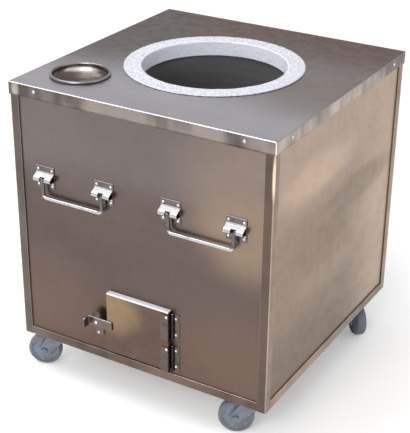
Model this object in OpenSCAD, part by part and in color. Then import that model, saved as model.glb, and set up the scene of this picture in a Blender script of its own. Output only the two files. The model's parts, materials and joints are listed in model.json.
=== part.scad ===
// Clay tandoor oven: a fired clay pot and its insulation in a steel-sheet cabinet on four castors.
// The origin lies on the floor under the middle of the cabinet. X is to the right, Y to the back, Z up.

/* [Cabinet] */
// Width of the top sheet
top_w = 610; // [560:5:700]
// Depth of the top sheet
top_d = 610; // [560:5:700]
// Height from the frame's underside to the top sheet's upper face
cabinet_h = 590; // [540:5:680]
// Height of the top sheet's folded skirt
skirt_h = 27; // [20:1:40]
// Gap between the fold of the top sheet and the frame's edge under it
skirt_gap = 0.25; // [0.2:0.05:2]
// Thickness of the top sheet
top_t = 1.5; // [0.8:0.1:2]
// Outer radius of the top sheet's folded edges
top_edge_r = 2.25; // [2.25:0.25:5]
// Thickness of the side panels
panel_t = 1; // [0.6:0.1:2]

/* [Frame] */
// Leg width of the steel angle
angle_leg = 20; // [16:1:30]
// Thickness of the steel angle
angle_t = 3; // [2:0.5:5]
// Thickness of the base plate
base_plate_t = 3; // [2:0.5:6]
// Side of the square pad over each castor
pad_side = 90; // [85:1:110]
// Gap at each end of the side rails, where they meet the front and rear rails
rail_gap = 0.5; // [0.3:0.1:2]

/* [Mouth and pot] */
// Inner diameter of the mouth
mouth_d = 305; // [280:5:340]
// Width of the ring round the mouth, from its bore to its rim
ring_w = 38.5; // [34:0.5:44]
// Rise of the ring above the top sheet
ring_rise = 4; // [2:0.5:12]
// How far the ring laps over the top sheet
ring_lap = 11; // [6:1:16]
// Rounding of the ring's two upper edges
ring_edge_r = 3; // [1:0.5:4]
// Height of the ring below the top sheet's upper face
neck_h = 30; // [20:1:50]
// Inner diameter of the pot at its widest
belly_d = 420; // [390:5:440]
// Inner diameter of the pot at its floor
pot_floor_d = 360; // [320:5:380]
// Wall of the clay pot
pot_wall = 28; // [20:1:34]
// Step from the ring's bore out to the pot's bore under it
pot_step = 7; // [4:1:12]
// Thickness of the hearth slab under the pot
hearth_t = 20; // [15:1:24]
// Height of the lip that stands up from the pot's rim round the ring
lip_h = 15; // [8:1:18]
// Thickness of the pot's lip
lip_t = 7; // [5:0.5:10]
// Side of the square hearth slab
hearth_side = 470; // [430:5:500]
// Gap round the pieces that the insulation is packed against
fill_gap = 0.5; // [0.3:0.1:3]

/* [Fire grate] */
// Diameter of the fire grate
grate_d = 280; // [240:5:276]
// Thickness of the fire grate
grate_t = 9; // [6:1:14]
// Height of the grate's underside above the pot's floor
grate_rise = 50; // [30:1:70]
// Width of the grate's outer rim and of its middle tie
grate_rim = 14; // [8:1:20]
// Width of one grate bar
grate_bar = 8; // [5:1:12]
// Spacing of the grate bars
grate_pitch = 22; // [16:1:30]
// Diameter of the grate's three feet
grate_foot_d = 16; // [12:1:24]

/* [Ash door] */
// Width of the door
door_w = 153; // [120:1:180]
// Height of the door
door_h = 140; // [110:1:160]
// Depth of the door's folded tray
door_depth = 14; // [10:1:24]
// Sheet thickness of the door
door_t = 1.2; // [0.8:0.1:2]
// Outer radius of the door's folds
door_edge_r = 2; // [1.5:0.25:4]
// Door's centre, to the right of the cabinet's middle
door_x = 3.5; // [-20:0.5:20]
// Door's centre above the frame's underside
door_up = 102; // [95:1:130]
// Lap of the closed door round its opening
door_lap = 12; // [6:1:20]
// Thickness of the door's inner liner
liner_t = 1; // [0.6:0.1:2]
// Wall of the draught duct behind the opening
duct_t = 1.5; // [1:0.1:3]

/* [Hinges] */
// Height of one hinge
hinge_h = 60; // [45:1:65]
// Distance between the middles of the two hinges
hinge_spacing = 76.4; // [70:0.2:90]
// Height of the hinge pair's middle below the door's middle
hinge_drop = 5.6; // [0:0.2:8]
// Outer diameter of the hinge knuckles
knuckle_d = 7; // [5:0.5:10]
// Diameter of the hinge pin
hinge_pin_d = 3; // [2:0.25:4]
// Thickness of the hinge leaves
leaf_t = 1.2; // [0.8:0.1:2]
// Reach of the fixed leaf from the hinge axis
fixed_leaf_w = 16; // [12:0.5:26]
// Lap of the moving leaf on the door's face
door_leaf_lap = 18; // [10:0.5:24]
// Distance between the two rivets of a fixed leaf
fixed_leaf_rivets = 38; // [26:1:44]
// Distance of the fixed leaf's rivets from the hinge axis
fixed_rivet_out = 6.8; // [6.8:0.1:8]
// Distance of the moving leaf's rivet from the door's edge
door_rivet_in = 3.5; // [3.4:0.1:9]
// Height of the moving leaf's rivet above the hinge's middle
door_rivet_up = 25.5; // [12:0.5:26]

/* [Latch] */
// Height of the latch bar
latch_h = 22; // [16:1:30]
// Thickness of the latch bar and its finger tab
latch_t = 3; // [2:0.5:5]
// Distance of the latch pivot from the door's left edge
latch_out = 24.5; // [20:0.5:40]
// Reach of the bar past its pivot to the right
latch_reach = 39.5; // [34:0.5:50]
// Reach of the bar past its pivot to the left
latch_tail = 21.5; // [18:0.5:40]
// How far the finger tab stands out from the bar's back
latch_tab = 20.5; // [12:0.5:40]
// Height of the pivot below the door's middle
latch_drop = 7; // [-20:0.5:30]
// Diameter of the latch pivot
latch_pin_d = 5; // [4:0.5:6]
// Width of the latch bracket
latch_strap_w = 20; // [16:1:28]
// Sheet thickness of the latch bracket
latch_strap_t = 1.5; // [1:0.1:3]
// Height of the bracket above its pivot
latch_strap_up = 24; // [14:1:30]
// Height of the bracket below its pivot
latch_strap_down = 40; // [36:1:50]
// Distance of the bracket's upper rivet below the pivot
latch_rivet_drop = 21; // [18:0.5:24]
// Distance between the bracket's two rivets
latch_rivet_pitch = 13.5; // [10:0.5:15]

/* [Handles] */
// Distance of a handle's middle from the cabinet's middle
handle_x = 152; // [120:1:160]
// Distance between the two legs of a handle
handle_span = 146; // [110:1:160]
// Height of the bracket plates' middle above the frame's underside
handle_up = 394; // [250:1:480]
// Diameter of the bail rod
rod_d = 8; // [6:0.5:10]
// Drop of the grip below its pivots
bail_drop = 40; // [34:1:60]
// Bend radius of the rod's centre line at the grip
bail_bend = 9; // [7:0.5:14]
// Length of the rod's outward end inside each bracket
bail_end = 18; // [12:0.5:20]
// Distance of the rod's axis from the panel
rod_off = 10.2; // [9.6:0.2:14]
// Width of a bracket plate
bracket_w = 46; // [44:1:54]
// Width of the saddle on each bracket plate
saddle_w = 43; // [42:1:52]
// Height of a bracket plate
bracket_h = 50; // [46:1:60]
// Thickness of the bracket plate
bracket_t = 1.2; // [0.8:0.1:2]
// Thickness of the saddle strap
saddle_t = 1.5; // [1:0.1:2.5]
// Height of the saddle's upper root above the rod's axis
saddle_up = 8; // [7:0.25:10]
// Depth of the saddle's lower root below the rod's axis
saddle_down = 6; // [5.5:0.25:8]
// Height of the rod's axis below the plate's middle
saddle_drop = 2; // [0:0.5:4]
// Width of the notch that the rod's leg swings in
notch_w = 12; // [11:0.5:16]
// Distance between the rivets of a bracket plate, both ways
bracket_rivets = 34; // [32:1:38]

/* [Fasteners] */
// Diameter of the rivet shanks
rivet_d = 4; // [3:0.5:5]
// Diameter of the rivet heads
rivet_head_d = 6.4; // [5:0.2:8]
// Height of the rivet heads
rivet_head_h = 2; // [1:0.1:3]
// Diameter of the skirt screws
screw_d = 4; // [3:0.5:5]
// Diameter of the skirt screws' heads
screw_head_d = 7.5; // [6:0.5:9]
// Height of the skirt screws' heads
screw_head_h = 2; // [1.5:0.1:3]
// Distance of the skirt screws from the middle of each side
screw_x = 240; // [180:5:250]
// Depth of the skirt screws below the top sheet's upper face
screw_down = 12; // [10:0.5:16]

/* [Bowl] */
// Inner diameter of the drop-in bowl
bowl_d = 115; // [90:1:126]
// Depth of the bowl below the top sheet's upper face
bowl_depth = 24; // [18:1:34]
// Wall of the bowl
bowl_t = 1.2; // [0.8:0.1:2]
// Radius of the bowl's rolled rim
bead_r = 3; // [2:0.25:4]
// Inner radius between the bowl's wall and its floor
bowl_fillet = 14; // [6:1:16]
// Bowl's centre, to the left of the cabinet's middle
bowl_left = 203; // [195:1:212]
// Bowl's centre, in front of the cabinet's middle
bowl_front = 197; // [195:1:212]

/* [Castors] */
// Height of a castor, from the floor to the frame's underside
castor_h = 95; // [92:1:110]
// Diameter of the wheels
wheel_d = 76; // [60:1:78]
// Width of the tyres
tyre_w = 24; // [16:1:30]
// Distance of the wheel's axle behind the swivel axis
trail = 36; // [28:1:42]
// Distance of each swivel axis in from the frame's outer faces, both ways
castor_in = 54.5; // [52.5:0.5:62]
// Length of the castor plate
plate_l = 72; // [70:1:84]
// Width of the castor plate
plate_w = 60; // [56:1:72]
// Thickness of the castor plate and of the fork's sheet
fork_t = 2.5; // [2:0.25:3.5]
// Distance between castor bolts along the plate
bolt_l = 54; // [52:1:60]
// Distance between castor bolts across the plate
bolt_w = 42; // [38:1:50]
// Diameter of the castor bolts
bolt_d = 6; // [5:0.5:8]
// Diameter of the kingpin
kingpin_d = 10; // [8:0.5:12]
// Diameter of the swivel race
race_d = 40; // [34:1:44]
// Height of the swivel race, both halves together
race_h = 11; // [8:0.5:14]
// Diameter of the axle
axle_d = 8; // [6:0.5:10]
// Radius of the fork's lower ends round the axle
fork_end_r = 14; // [11:0.5:17]
// Side play between a tyre and the fork's legs
fork_play = 2; // [1:0.25:4]

/* [Clearances] */
// Radial clearance of a turning shaft in its bore
run_gap = 0.05; // [0.02:0.01:0.1]
// Radial clearance of a fixed shank in its hole
shank_gap = 0.05; // [0.02:0.01:0.2]
// Gap between faces that move past each other
face_gap = 0.3; // [0.2:0.05:0.5]

/* [Hidden] */

$fn = 48;
bite = 1; // how far a cutting solid runs past the face that it cuts

// Heights above the floor
frame_z = castor_h;
top_z = frame_z + cabinet_h;
top_under_z = top_z - top_t;
sill_z = frame_z + angle_t;
base_top_z = sill_z + base_plate_t;
hearth_top_z = base_top_z + hearth_t;
rail_under_z = top_under_z - angle_t;
neck_z = top_z - neck_h;

// Half widths of the cabinet: the angle's outer face, the panel's outer and inner faces
skirt_inset = top_edge_r + skirt_gap;
frame_x = top_w / 2 - skirt_inset;
frame_y = top_d / 2 - skirt_inset;
panel_x = frame_x - angle_t;
panel_y = frame_y - angle_t;
lining_x = panel_x - panel_t;
lining_y = panel_y - panel_t;

// Door opening
door_z = frame_z + door_up;
opening_w = door_w - 2 * door_lap;
opening_h = door_h - 2 * door_lap;
opening_z = door_z - opening_h / 2;
door_left = door_x - door_w / 2;
door_right = door_x + door_w / 2;
door_face = panel_y + door_depth;

// Pot
mouth_r = mouth_d / 2;
ring_r = mouth_r + ring_w;
collar_r = ring_r - ring_lap;
pot_mouth_r = mouth_r + pot_step;
belly_r = belly_d / 2;
pot_floor_r = pot_floor_d / 2;
pot_floor_z = opening_z;
pot_steps = 14;

// Hinges
hinge_x = door_right + knuckle_d / 2;
hinge_y = panel_y + knuckle_d / 2;
hinge_z = door_z - hinge_drop;
knuckle_h = hinge_h / 3;

// Latch
latch_x = door_left - latch_out;
latch_z = door_z - latch_drop;
latch_back = door_face + face_gap;
latch_front = latch_back + latch_t;
latch_strap_face = latch_back - face_gap;
latch_foot_top = latch_rivet_drop - 6;

// Handles
handle_z = frame_z + handle_up;
bail_z = handle_z - saddle_drop;
rod_r = rod_d / 2;

// Castors: the way that each wheel trails, in degrees from +X
wheel_r = wheel_d / 2;
stem_x = frame_x - castor_in;
stem_y = frame_y - castor_in;
castor_turn = [204, 203, 130, 314];
castor_side = [[-1, -1], [1, -1], [-1, 1], [1, 1]];
plate_z = frame_z - fork_t;
race_z = plate_z - race_h;
crown_z = race_z - fork_t;
leg_in = tyre_w / 2 + fork_play;
leg_out = leg_in + fork_t;
upper_race_h = race_h * 0.4;
rim_r = wheel_r * 0.78;
hub_r = axle_d * 1.6;
crown_front = race_d / 2 - 2;
crown_back = trail * 0.6;
kingpin_head = 3.5;

// ---------- shared shapes ----------

// One copy at each of the four corners of a rectangle, mirrored so that each faces outwards.
module at_corners(x, y) {
    for (sx = [-1, 1], sy = [-1, 1])
        translate([sx * x, sy * y, 0])
            scale_sign(sx, sy) children();
}

module scale_sign(sx, sy) {
    mirror([sx < 0 ? 1 : 0, 0, 0]) mirror([0, sy < 0 ? 1 : 0, 0]) children();
}

// The children on the front and, turned half round, on the back.
module front_and_back() {
    for (turn = [0, 180]) rotate([0, 0, turn]) children();
}

// A square with round corners.
module rounded_square(w, d, r) {
    square([w - 2 * r, d], center = true);
    square([w, d - 2 * r], center = true);
    for (sx = [-1, 1], sy = [-1, 1])
        translate([sx * (w / 2 - r), sy * (d / 2 - r)]) circle(r);
}

// A side view with square lower corners and round upper ones.
module rounded_profile(w, h, r) {
    translate([-w / 2, 0]) square([w, h - r]);
    translate([-w / 2 + r, 0]) square([w - 2 * r, h]);
    for (s = [-1, 1]) translate([s * (w / 2 - r), h - r]) circle(r);
}

// A block whose upright edges and upper edges are rounded.
module folded_block(w, d, h, r) {
    intersection() {
        linear_extrude(h) rounded_square(w, d, r);
        rotate([90, 0, 0]) linear_extrude(d, center = true) rounded_profile(w, h, r);
        rotate([90, 0, 90]) linear_extrude(w, center = true) rounded_profile(d, h, r);
    }
}

// A sheet folded down on four sides: open underneath.
module folded_tray(w, d, h, r, t) {
    difference() {
        folded_block(w, d, h, r);
        translate([0, 0, -bite]) folded_block(w - 2 * t, d - 2 * t, h - t + bite, max(r - t, t / 4));
    }
}

// A length of angle along X. Its upright leg's outer face is at y = 0, its flat leg is at z = 0.
module angle_bar(l) {
    translate([-l / 2, 0, 0]) cube([l, angle_leg, angle_t]);
    translate([-l / 2, 0, 0]) cube([l, angle_t, angle_leg]);
}

// Where a line from point p touches the circle of radius r round c, on side s.
function touch_point(p, c, r, s) =
    let (v = c - p, l = norm(v), a = atan2(v.y, v.x) + s * asin(r / l))
    p + sqrt(l * l - r * r) * [cos(a), sin(a)];

// A rivet seen from the front: head towards -Y, shank back through l of sheet from y = 0.
module rivet(l) {
    rotate([90, 0, 0]) {
        rotate_extrude() intersection() {
            head_ball = (rivet_head_d * rivet_head_d / 4 + rivet_head_h * rivet_head_h) / (2 * rivet_head_h);
            translate([0, rivet_head_h - head_ball]) circle(head_ball);
            square([rivet_head_d, rivet_head_h]);
        }
        translate([0, 0, -l]) cylinder(d = rivet_d, h = l + rivet_head_h / 2);
    }
}

// A hole along Y for a shank of diameter d, through everything from y0 to y1.
module cross_hole(d, y0, y1) {
    translate([0, y0, 0]) rotate([-90, 0, 0]) cylinder(d = d + 2 * shank_gap, h = y1 - y0);
}

// ---------- frame ----------

module corner_posts() {
    color("#8f8a83")
    at_corners(frame_x, frame_y)
        translate([0, 0, frame_z]) linear_extrude(top_under_z - frame_z) {
            translate([-angle_leg, -angle_t]) square([angle_leg, angle_t]);
            translate([-angle_t, -angle_leg]) square([angle_t, angle_leg]);
        }
}

// Four angles between the posts, flat leg down at the bottom of the cabinet.
module rail_ring() {
    for (turn = [0, 180]) rotate([0, 0, turn]) {
        translate([0, -frame_y, 0]) angle_bar(2 * (frame_x - angle_leg));
        rotate([0, 0, 90]) translate([0, -frame_x, 0]) angle_bar(2 * (frame_y - angle_leg - rail_gap));
    }
}

module base_rails() {
    color("#8a8378")
    translate([0, 0, frame_z]) rail_ring();
}

module top_rails() {
    color("#8a8378")
    difference() {
        translate([0, 0, top_under_z]) mirror([0, 0, 1]) rail_ring();
        skirt_screw_places() cross_hole(screw_d, -bite, skirt_inset + angle_t + bite);
    }
}

module castor_pads() {
    color("#77736d")
    difference() {
        at_corners(frame_x - angle_leg - pad_side / 2, frame_y - angle_leg - pad_side / 2)
            translate([-pad_side / 2, -pad_side / 2, frame_z]) cube([pad_side, pad_side, angle_t]);
        castor_bolt_holes(frame_z - bite, sill_z + bite);
    }
}

module base_plate() {
    color("#77736d")
    difference() {
        translate([-lining_x, -lining_y, sill_z]) cube([2 * lining_x, 2 * lining_y, base_plate_t]);
        castor_bolt_holes(sill_z - bite, base_top_z + bite);
    }
}

// ---------- cabinet sheets ----------

panel_h = rail_under_z - sill_z;

module front_panel() {
    color("#857a70")
    difference() {
        translate([-lining_x, -panel_y, sill_z]) cube([2 * lining_x, panel_t, panel_h]);
        translate([door_x - opening_w / 2, -panel_y - bite, opening_z])
            cube([opening_w, panel_t + 2 * bite, opening_h]);
        handle_rivet_places() cross_hole(rivet_d, -bite, panel_t + bite);
        hinge_rivet_places() cross_hole(rivet_d, -bite, panel_t + bite);
        latch_rivet_places() cross_hole(rivet_d, -bite, panel_t + bite);
    }
}

module rear_panel() {
    color("#857a70")
    rotate([0, 0, 180]) difference() {
        translate([-lining_x, -panel_y, sill_z]) cube([2 * lining_x, panel_t, panel_h]);
        handle_rivet_places() cross_hole(rivet_d, -bite, panel_t + bite);
    }
}

module side_panel() {
    translate([lining_x, -panel_y, sill_z]) cube([panel_t, 2 * panel_y, panel_h]);
}

module left_panel() {
    color("#8f8578")
    mirror([1, 0, 0]) side_panel();
}

module right_panel() {
    color("#8f8578")
    side_panel();
}

// The middle of each screw on the skirt, with y = 0 at the skirt's outer face.
module skirt_screw_places() {
    for (turn = [0, 180], s = [-1, 1]) rotate([0, 0, turn]) {
        translate([s * screw_x, -top_d / 2, top_z - screw_down]) children();
        rotate([0, 0, 90]) translate([s * screw_x, -top_w / 2, top_z - screw_down]) children();
    }
}

module top_sheet() {
    color("#8b8b8e")
    difference() {
        translate([0, 0, top_z - skirt_h]) folded_tray(top_w, top_d, skirt_h, top_edge_r, top_t);
        translate([0, 0, top_under_z - bite]) cylinder(r = collar_r + face_gap, h = top_t + 2 * bite);
        translate([-bowl_left, -bowl_front, top_under_z - bite])
            cylinder(d = bowl_d + 2 * (bowl_t + face_gap), h = top_t + 2 * bite);
        skirt_screw_places() cross_hole(screw_d, -bite, top_t + bite);
    }
}

module skirt_screws() {
    color("#a9a9a9")
    skirt_screw_places() {
        rotate([90, 0, 0]) cylinder(d = screw_head_d, h = screw_head_h);
        rotate([-90, 0, 0]) cylinder(d = screw_d, h = skirt_inset + angle_t);
    }
}

// ---------- mouth, pot and insulation ----------

module mouth_ring() {
    color("#d9dce0")
    rotate_extrude($fn = 96) difference() {
        union() {
            translate([mouth_r, neck_z]) square([collar_r - mouth_r, top_z - neck_z]);
            translate([mouth_r, top_z]) square([ring_r - mouth_r, ring_rise - ring_edge_r]);
            translate([mouth_r + ring_edge_r, top_z])
                square([ring_r - mouth_r - 2 * ring_edge_r, ring_rise]);
            for (x = [mouth_r + ring_edge_r, ring_r - ring_edge_r])
                translate([x, top_z + ring_rise - ring_edge_r]) circle(ring_edge_r);
        }
        translate([collar_r, top_z - neck_h]) square([ring_lap + bite, neck_h]);
    }
}

// Inner radius of the pot at height share s, 0 at its floor and 1 under the ring.
function pot_r(s) = let (belly_at = 0.42)
    s < belly_at
        ? pot_floor_r + (belly_r - pot_floor_r) * sin(90 * s / belly_at)
        : pot_mouth_r + (belly_r - pot_mouth_r) * pow(cos(90 * (s - belly_at) / (1 - belly_at)), 1.25);

// The pot's half section, grown by g: a solid vessel of wall w down to height z0.
module pot_outline(w, z0) {
    polygon(concat(
        [[0, z0], [pot_r(0) + w, z0]],
        [for (i = [0:pot_steps]) let (s = i / pot_steps)
            [pot_r(s) + w, pot_floor_z + s * (neck_z - pot_floor_z)]],
        [[0, neck_z]]));
}

module vent_opening(grow, y0, y1) {
    translate([door_x - opening_w / 2 - grow, y0, opening_z - grow])
        cube([opening_w + 2 * grow, y1 - y0, opening_h + 2 * grow]);
}

module clay_pot() {
    color("#7d6a5a")
    difference() {
        rotate_extrude($fn = 96) difference() {
            union() {
                pot_outline(pot_wall, hearth_top_z);
                translate([collar_r + fill_gap, neck_z - bite]) square([lip_t, lip_h + bite]);
            }
            pot_outline(0, pot_floor_z);
        }
        vent_opening(0, -belly_r - pot_wall - bite, -pot_floor_r / 2);
    }
}

module hearth_slab() {
    color("#9b7b62")
    translate([-hearth_side / 2, -hearth_side / 2, base_top_z]) cube([hearth_side, hearth_side, hearth_t]);
}

// The sleeve from the panel's opening to the pot's wall.
module draught_duct() {
    color("#8a8378")
    difference() {
        vent_opening(duct_t, -lining_y, -pot_floor_r);
        vent_opening(0, -lining_y - bite, -pot_floor_r + bite);
        rotate_extrude($fn = 96) pot_outline(pot_wall, base_top_z);
        translate([-hearth_side / 2, -hearth_side / 2, base_top_z]) cube([hearth_side, hearth_side, hearth_t]);
    }
}

module insulation_fill() {
    color("#c9bf9e")
    difference() {
        translate([-lining_x + fill_gap, -lining_y + fill_gap, base_top_z])
            cube([2 * (lining_x - fill_gap), 2 * (lining_y - fill_gap), rail_under_z - base_top_z - fill_gap]);
        rotate_extrude($fn = 96) pot_outline(pot_wall + fill_gap, base_top_z - bite);
        translate([0, 0, neck_z - bite]) cylinder(r = collar_r + lip_t + 2 * fill_gap, h = neck_h);
        translate([0, 0, neck_z - fill_gap]) cylinder(r = pot_mouth_r + pot_wall + fill_gap, h = neck_h);
        translate([-hearth_side / 2 - fill_gap, -hearth_side / 2 - fill_gap, base_top_z - bite])
            cube([hearth_side + 2 * fill_gap, hearth_side + 2 * fill_gap, hearth_t + fill_gap + bite]);
        vent_opening(duct_t + fill_gap, -lining_y - bite, -pot_floor_r);
        translate([-bowl_left, -bowl_front, top_z - bowl_depth - bowl_t - 4 * fill_gap])
            cylinder(d = bowl_d + 2 * (bowl_t + 4 * fill_gap), h = bowl_depth + bite);
    }
}

module fire_grate() {
    grate_r = grate_d / 2;
    foot_r = grate_r - grate_rim - grate_foot_d / 2;
    bars = floor((grate_r - grate_rim) / grate_pitch);
    color("#3d3a37") {
        translate([0, 0, pot_floor_z + grate_rise]) {
            difference() {
                cylinder(r = grate_r, h = grate_t);
                translate([0, 0, -bite]) cylinder(r = grate_r - grate_rim, h = grate_t + 2 * bite);
            }
            intersection() {
                cylinder(r = grate_r - grate_rim / 2, h = grate_t);
                union() {
                    for (i = [-bars:bars])
                        translate([i * grate_pitch - grate_bar / 2, -grate_r, 0]) cube([grate_bar, grate_d, grate_t]);
                    translate([-grate_r, -grate_rim / 2, 0]) cube([grate_d, grate_rim, grate_t]);
                }
            }
        }
        for (a = [90, 210, 330]) rotate([0, 0, a])
            translate([foot_r, 0, pot_floor_z]) cylinder(d = grate_foot_d, h = grate_rise + grate_t);
    }
}

// ---------- handles ----------

// The middle of each bracket plate, with y = 0 at the panel's outer face.
module bracket_places() {
    for (side = [-1, 1], s = [-1, 1])
        translate([side * handle_x + s * handle_span / 2, -panel_y, handle_z]) children();
}

module handle_rivet_places() {
    for (sx = [-1, 1], sz = [-1, 1])
        bracket_places() translate([sx * bracket_rivets / 2, 0, sz * bracket_rivets / 2]) children();
}

// Side view of the saddle's outside (t = 0) or of the space inside its strap (t = strap), as [-out, up].
module saddle_side(t) {
    r = rod_r + face_gap + saddle_t - t;
    c = [-rod_off, 0];
    top = [-bracket_t / 2, saddle_up - t];
    foot = [-bracket_t / 2, -saddle_down + t];
    translate(c) circle(r);
    polygon([top, touch_point(top, c, r, -1), c, touch_point(foot, c, r, 1), foot]);
}

module handle_bracket() {
    difference() {
        translate([-bracket_w / 2, -bracket_t, -bracket_h / 2]) cube([bracket_w, bracket_t, bracket_h]);
        for (sx = [-1, 1], sz = [-1, 1])
            translate([sx * bracket_rivets / 2, 0, sz * bracket_rivets / 2]) cross_hole(rivet_d, -bracket_t - bite, bite);
    }
    translate([0, 0, -saddle_drop]) difference() {
        rotate([90, 0, 90]) linear_extrude(saddle_w, center = true) difference() {
            saddle_side(0);
            difference() {
                saddle_side(saddle_t);
                translate([-bracket_t * 0.8, -bracket_h / 2]) square([bracket_t + bite, bracket_h]);
            }
        }
        translate([-notch_w / 2, -bracket_h, -bracket_h])
            cube([notch_w, bracket_h - bracket_t, bracket_h + rod_r + 2 * face_gap]);
    }
}

module handle_brackets() {
    color("#b4b6b8")
    front_and_back() bracket_places() handle_bracket();
}

module handle_rivets() {
    color("#c8cacc")
    front_and_back() handle_rivet_places() translate([0, -bracket_t, 0]) rivet(bracket_t + panel_t);
}

// One bail, hanging, for the handle on side s of the front.
module bail(s) {
    color("#c3c6c9")
    translate([s * handle_x, -panel_y - rod_off, bail_z]) {
        for (m = [0, 1]) mirror([m, 0, 0]) translate([handle_span / 2, 0, 0]) {
            rotate([0, 90, 0]) cylinder(r = rod_r, h = bail_end);
            sphere(r = rod_r);
            translate([0, 0, -bail_drop + bail_bend]) cylinder(r = rod_r, h = bail_drop - bail_bend);
            translate([-bail_bend, 0, -bail_drop + bail_bend]) rotate([90, 0, 0])
                rotate([0, 0, -90]) rotate_extrude(angle = 90) translate([bail_bend, 0]) circle(rod_r);
        }
        translate([-handle_span / 2 + bail_bend, 0, -bail_drop]) rotate([0, 90, 0])
            cylinder(r = rod_r, h = handle_span - 2 * bail_bend);
    }
}

module front_left_bail() bail(-1);
module front_right_bail() bail(1);
module rear_left_bail() rotate([0, 0, 180]) bail(1);
module rear_right_bail() rotate([0, 0, 180]) bail(-1);

// ---------- ash door ----------

// The middle of each hinge, on its axis.
module hinge_places() {
    for (s = [-1, 1]) translate([hinge_x, -hinge_y, hinge_z + s * hinge_spacing / 2]) children();
}

// The rivets of the fixed leaves, with y = 0 at the panel's outer face.
module hinge_rivet_places() {
    for (s = [-1, 1]) hinge_places()
        translate([fixed_rivet_out, knuckle_d / 2, s * fixed_leaf_rivets / 2]) children();
}

// The rivets of the moving leaves, with y = 0 at the door's face.
module door_rivet_places() {
    hinge_places() translate([-knuckle_d / 2 - door_rivet_in, hinge_y - door_face, door_rivet_up]) children();
}

module hinge_fixed_leaves() {
    color("#9c9a97")
    difference() {
        hinge_places() {
            for (s = [-1, 1]) translate([0, 0, s * knuckle_h]) cylinder(d = knuckle_d, h = knuckle_h, center = true);
            difference() {
                translate([0, knuckle_d / 2 - leaf_t, -hinge_h / 2]) cube([fixed_leaf_w, leaf_t, hinge_h]);
                cylinder(r = knuckle_d / 2 + face_gap, h = knuckle_h + 2 * face_gap, center = true);
            }
        }
        hinge_places() cylinder(d = hinge_pin_d, h = hinge_h + 2 * bite, center = true);
        hinge_rivet_places() cross_hole(rivet_d, -leaf_t - bite, bite);
    }
}

module hinge_pins() {
    color("#b0b0b0")
    hinge_places() cylinder(d = hinge_pin_d, h = hinge_h, center = true);
}

module hinge_rivets() {
    color("#c8cacc")
    hinge_rivet_places() translate([0, -leaf_t, 0]) rivet(leaf_t + panel_t);
}

// The moving leaves run out along the door's side and fold over its face.
module hinge_door_leaves() {
    side_out = door_face - hinge_y + leaf_t;
    color("#9c9a97")
    difference() {
        hinge_places() {
            cylinder(d = knuckle_d, h = knuckle_h - 2 * face_gap, center = true);
            translate([-knuckle_d / 2, -side_out, -hinge_h / 2]) cube([leaf_t, side_out - knuckle_d / 2 - face_gap, hinge_h]);
            translate([-knuckle_d / 2, -side_out, -knuckle_h / 2 + face_gap])
                cube([leaf_t, side_out, knuckle_h - 2 * face_gap]);
            translate([-knuckle_d / 2 - door_leaf_lap, -side_out, -hinge_h / 2])
                cube([door_leaf_lap + leaf_t, leaf_t, hinge_h]);
        }
        hinge_places() cylinder(d = hinge_pin_d + 2 * run_gap, h = hinge_h, center = true);
        door_rivet_places() cross_hole(rivet_d, -leaf_t - bite, bite);
    }
}

module door_rivets() {
    color("#c8cacc")
    door_rivet_places() translate([0, -leaf_t, 0]) rivet(leaf_t + door_t);
}

module door_tray() {
    color("#8c8072")
    difference() {
        translate([door_x, -panel_y - face_gap, door_z]) rotate([90, 0, 0])
            folded_tray(door_w, door_h, door_depth - face_gap, door_edge_r, door_t);
        door_rivet_places() cross_hole(rivet_d, -bite, door_t + bite);
    }
}

// A block that fits inside the door's tray, from y0 to y1 behind its face.
module inside_door(y0, y1) {
    in = door_t + face_gap;
    translate([door_x, -door_face + y0, door_z]) rotate([-90, 0, 0])
        linear_extrude(y1 - y0) rounded_square(door_w - 2 * in, door_h - 2 * in, max(door_edge_r - door_t, door_t / 4));
}

module door_liner() {
    color("#8a8378")
    inside_door(door_depth - face_gap - liner_t, door_depth - face_gap);
}

module door_insulation() {
    color("#c9bf9e")
    difference() {
        inside_door(max(door_t + fill_gap, door_edge_r), door_depth - face_gap - liner_t);
        door_rivet_places() translate([0, door_t / 2, 0]) rotate([-90, 0, 0])
            cylinder(d = rivet_head_d, h = door_t + 2 * fill_gap);
    }
}

// ---------- latch ----------

module latch_rivet_places() {
    for (i = [0, 1])
        translate([latch_x - latch_strap_w / 4, -panel_y, latch_z - latch_rivet_drop - i * latch_rivet_pitch]) children();
}

// A strap riveted to the panel and bent forward to carry the pivot in front of the door's face.
module latch_bracket() {
    color("#9c9a97")
    difference() {
        translate([latch_x - latch_strap_w * 5 / 8, 0, latch_z]) {
            translate([0, -panel_y - latch_strap_t, -latch_strap_down])
                cube([latch_strap_w, latch_strap_t, latch_strap_down - latch_foot_top]);
            translate([0, -latch_strap_face, -latch_foot_top - latch_strap_t])
                cube([latch_strap_w, latch_strap_face - panel_y, latch_strap_t]);
            translate([0, -latch_strap_face, -latch_foot_top - latch_strap_t])
                cube([latch_strap_w, latch_strap_t, latch_strap_up + latch_foot_top + latch_strap_t]);
        }
        latch_rivet_places() cross_hole(rivet_d, -latch_strap_t - bite, bite);
        translate([latch_x, 0, latch_z]) cross_hole(latch_pin_d, -latch_strap_face - bite, -latch_strap_face + latch_strap_t + bite);
    }
}

module latch_rivets() {
    color("#c8cacc")
    latch_rivet_places() translate([0, -latch_strap_t, 0]) rivet(latch_strap_t + panel_t);
}

module latch_pivot() {
    color("#c8cacc")
    translate([latch_x, 0, latch_z]) {
        translate([0, -latch_front - face_gap, 0]) rotate([90, 0, 0]) cylinder(d = latch_pin_d * 1.6, h = rivet_head_h);
        translate([0, -latch_front - face_gap, 0]) rotate([-90, 0, 0])
            cylinder(d = latch_pin_d, h = latch_front + face_gap - latch_strap_face + latch_strap_t);
    }
}

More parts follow.
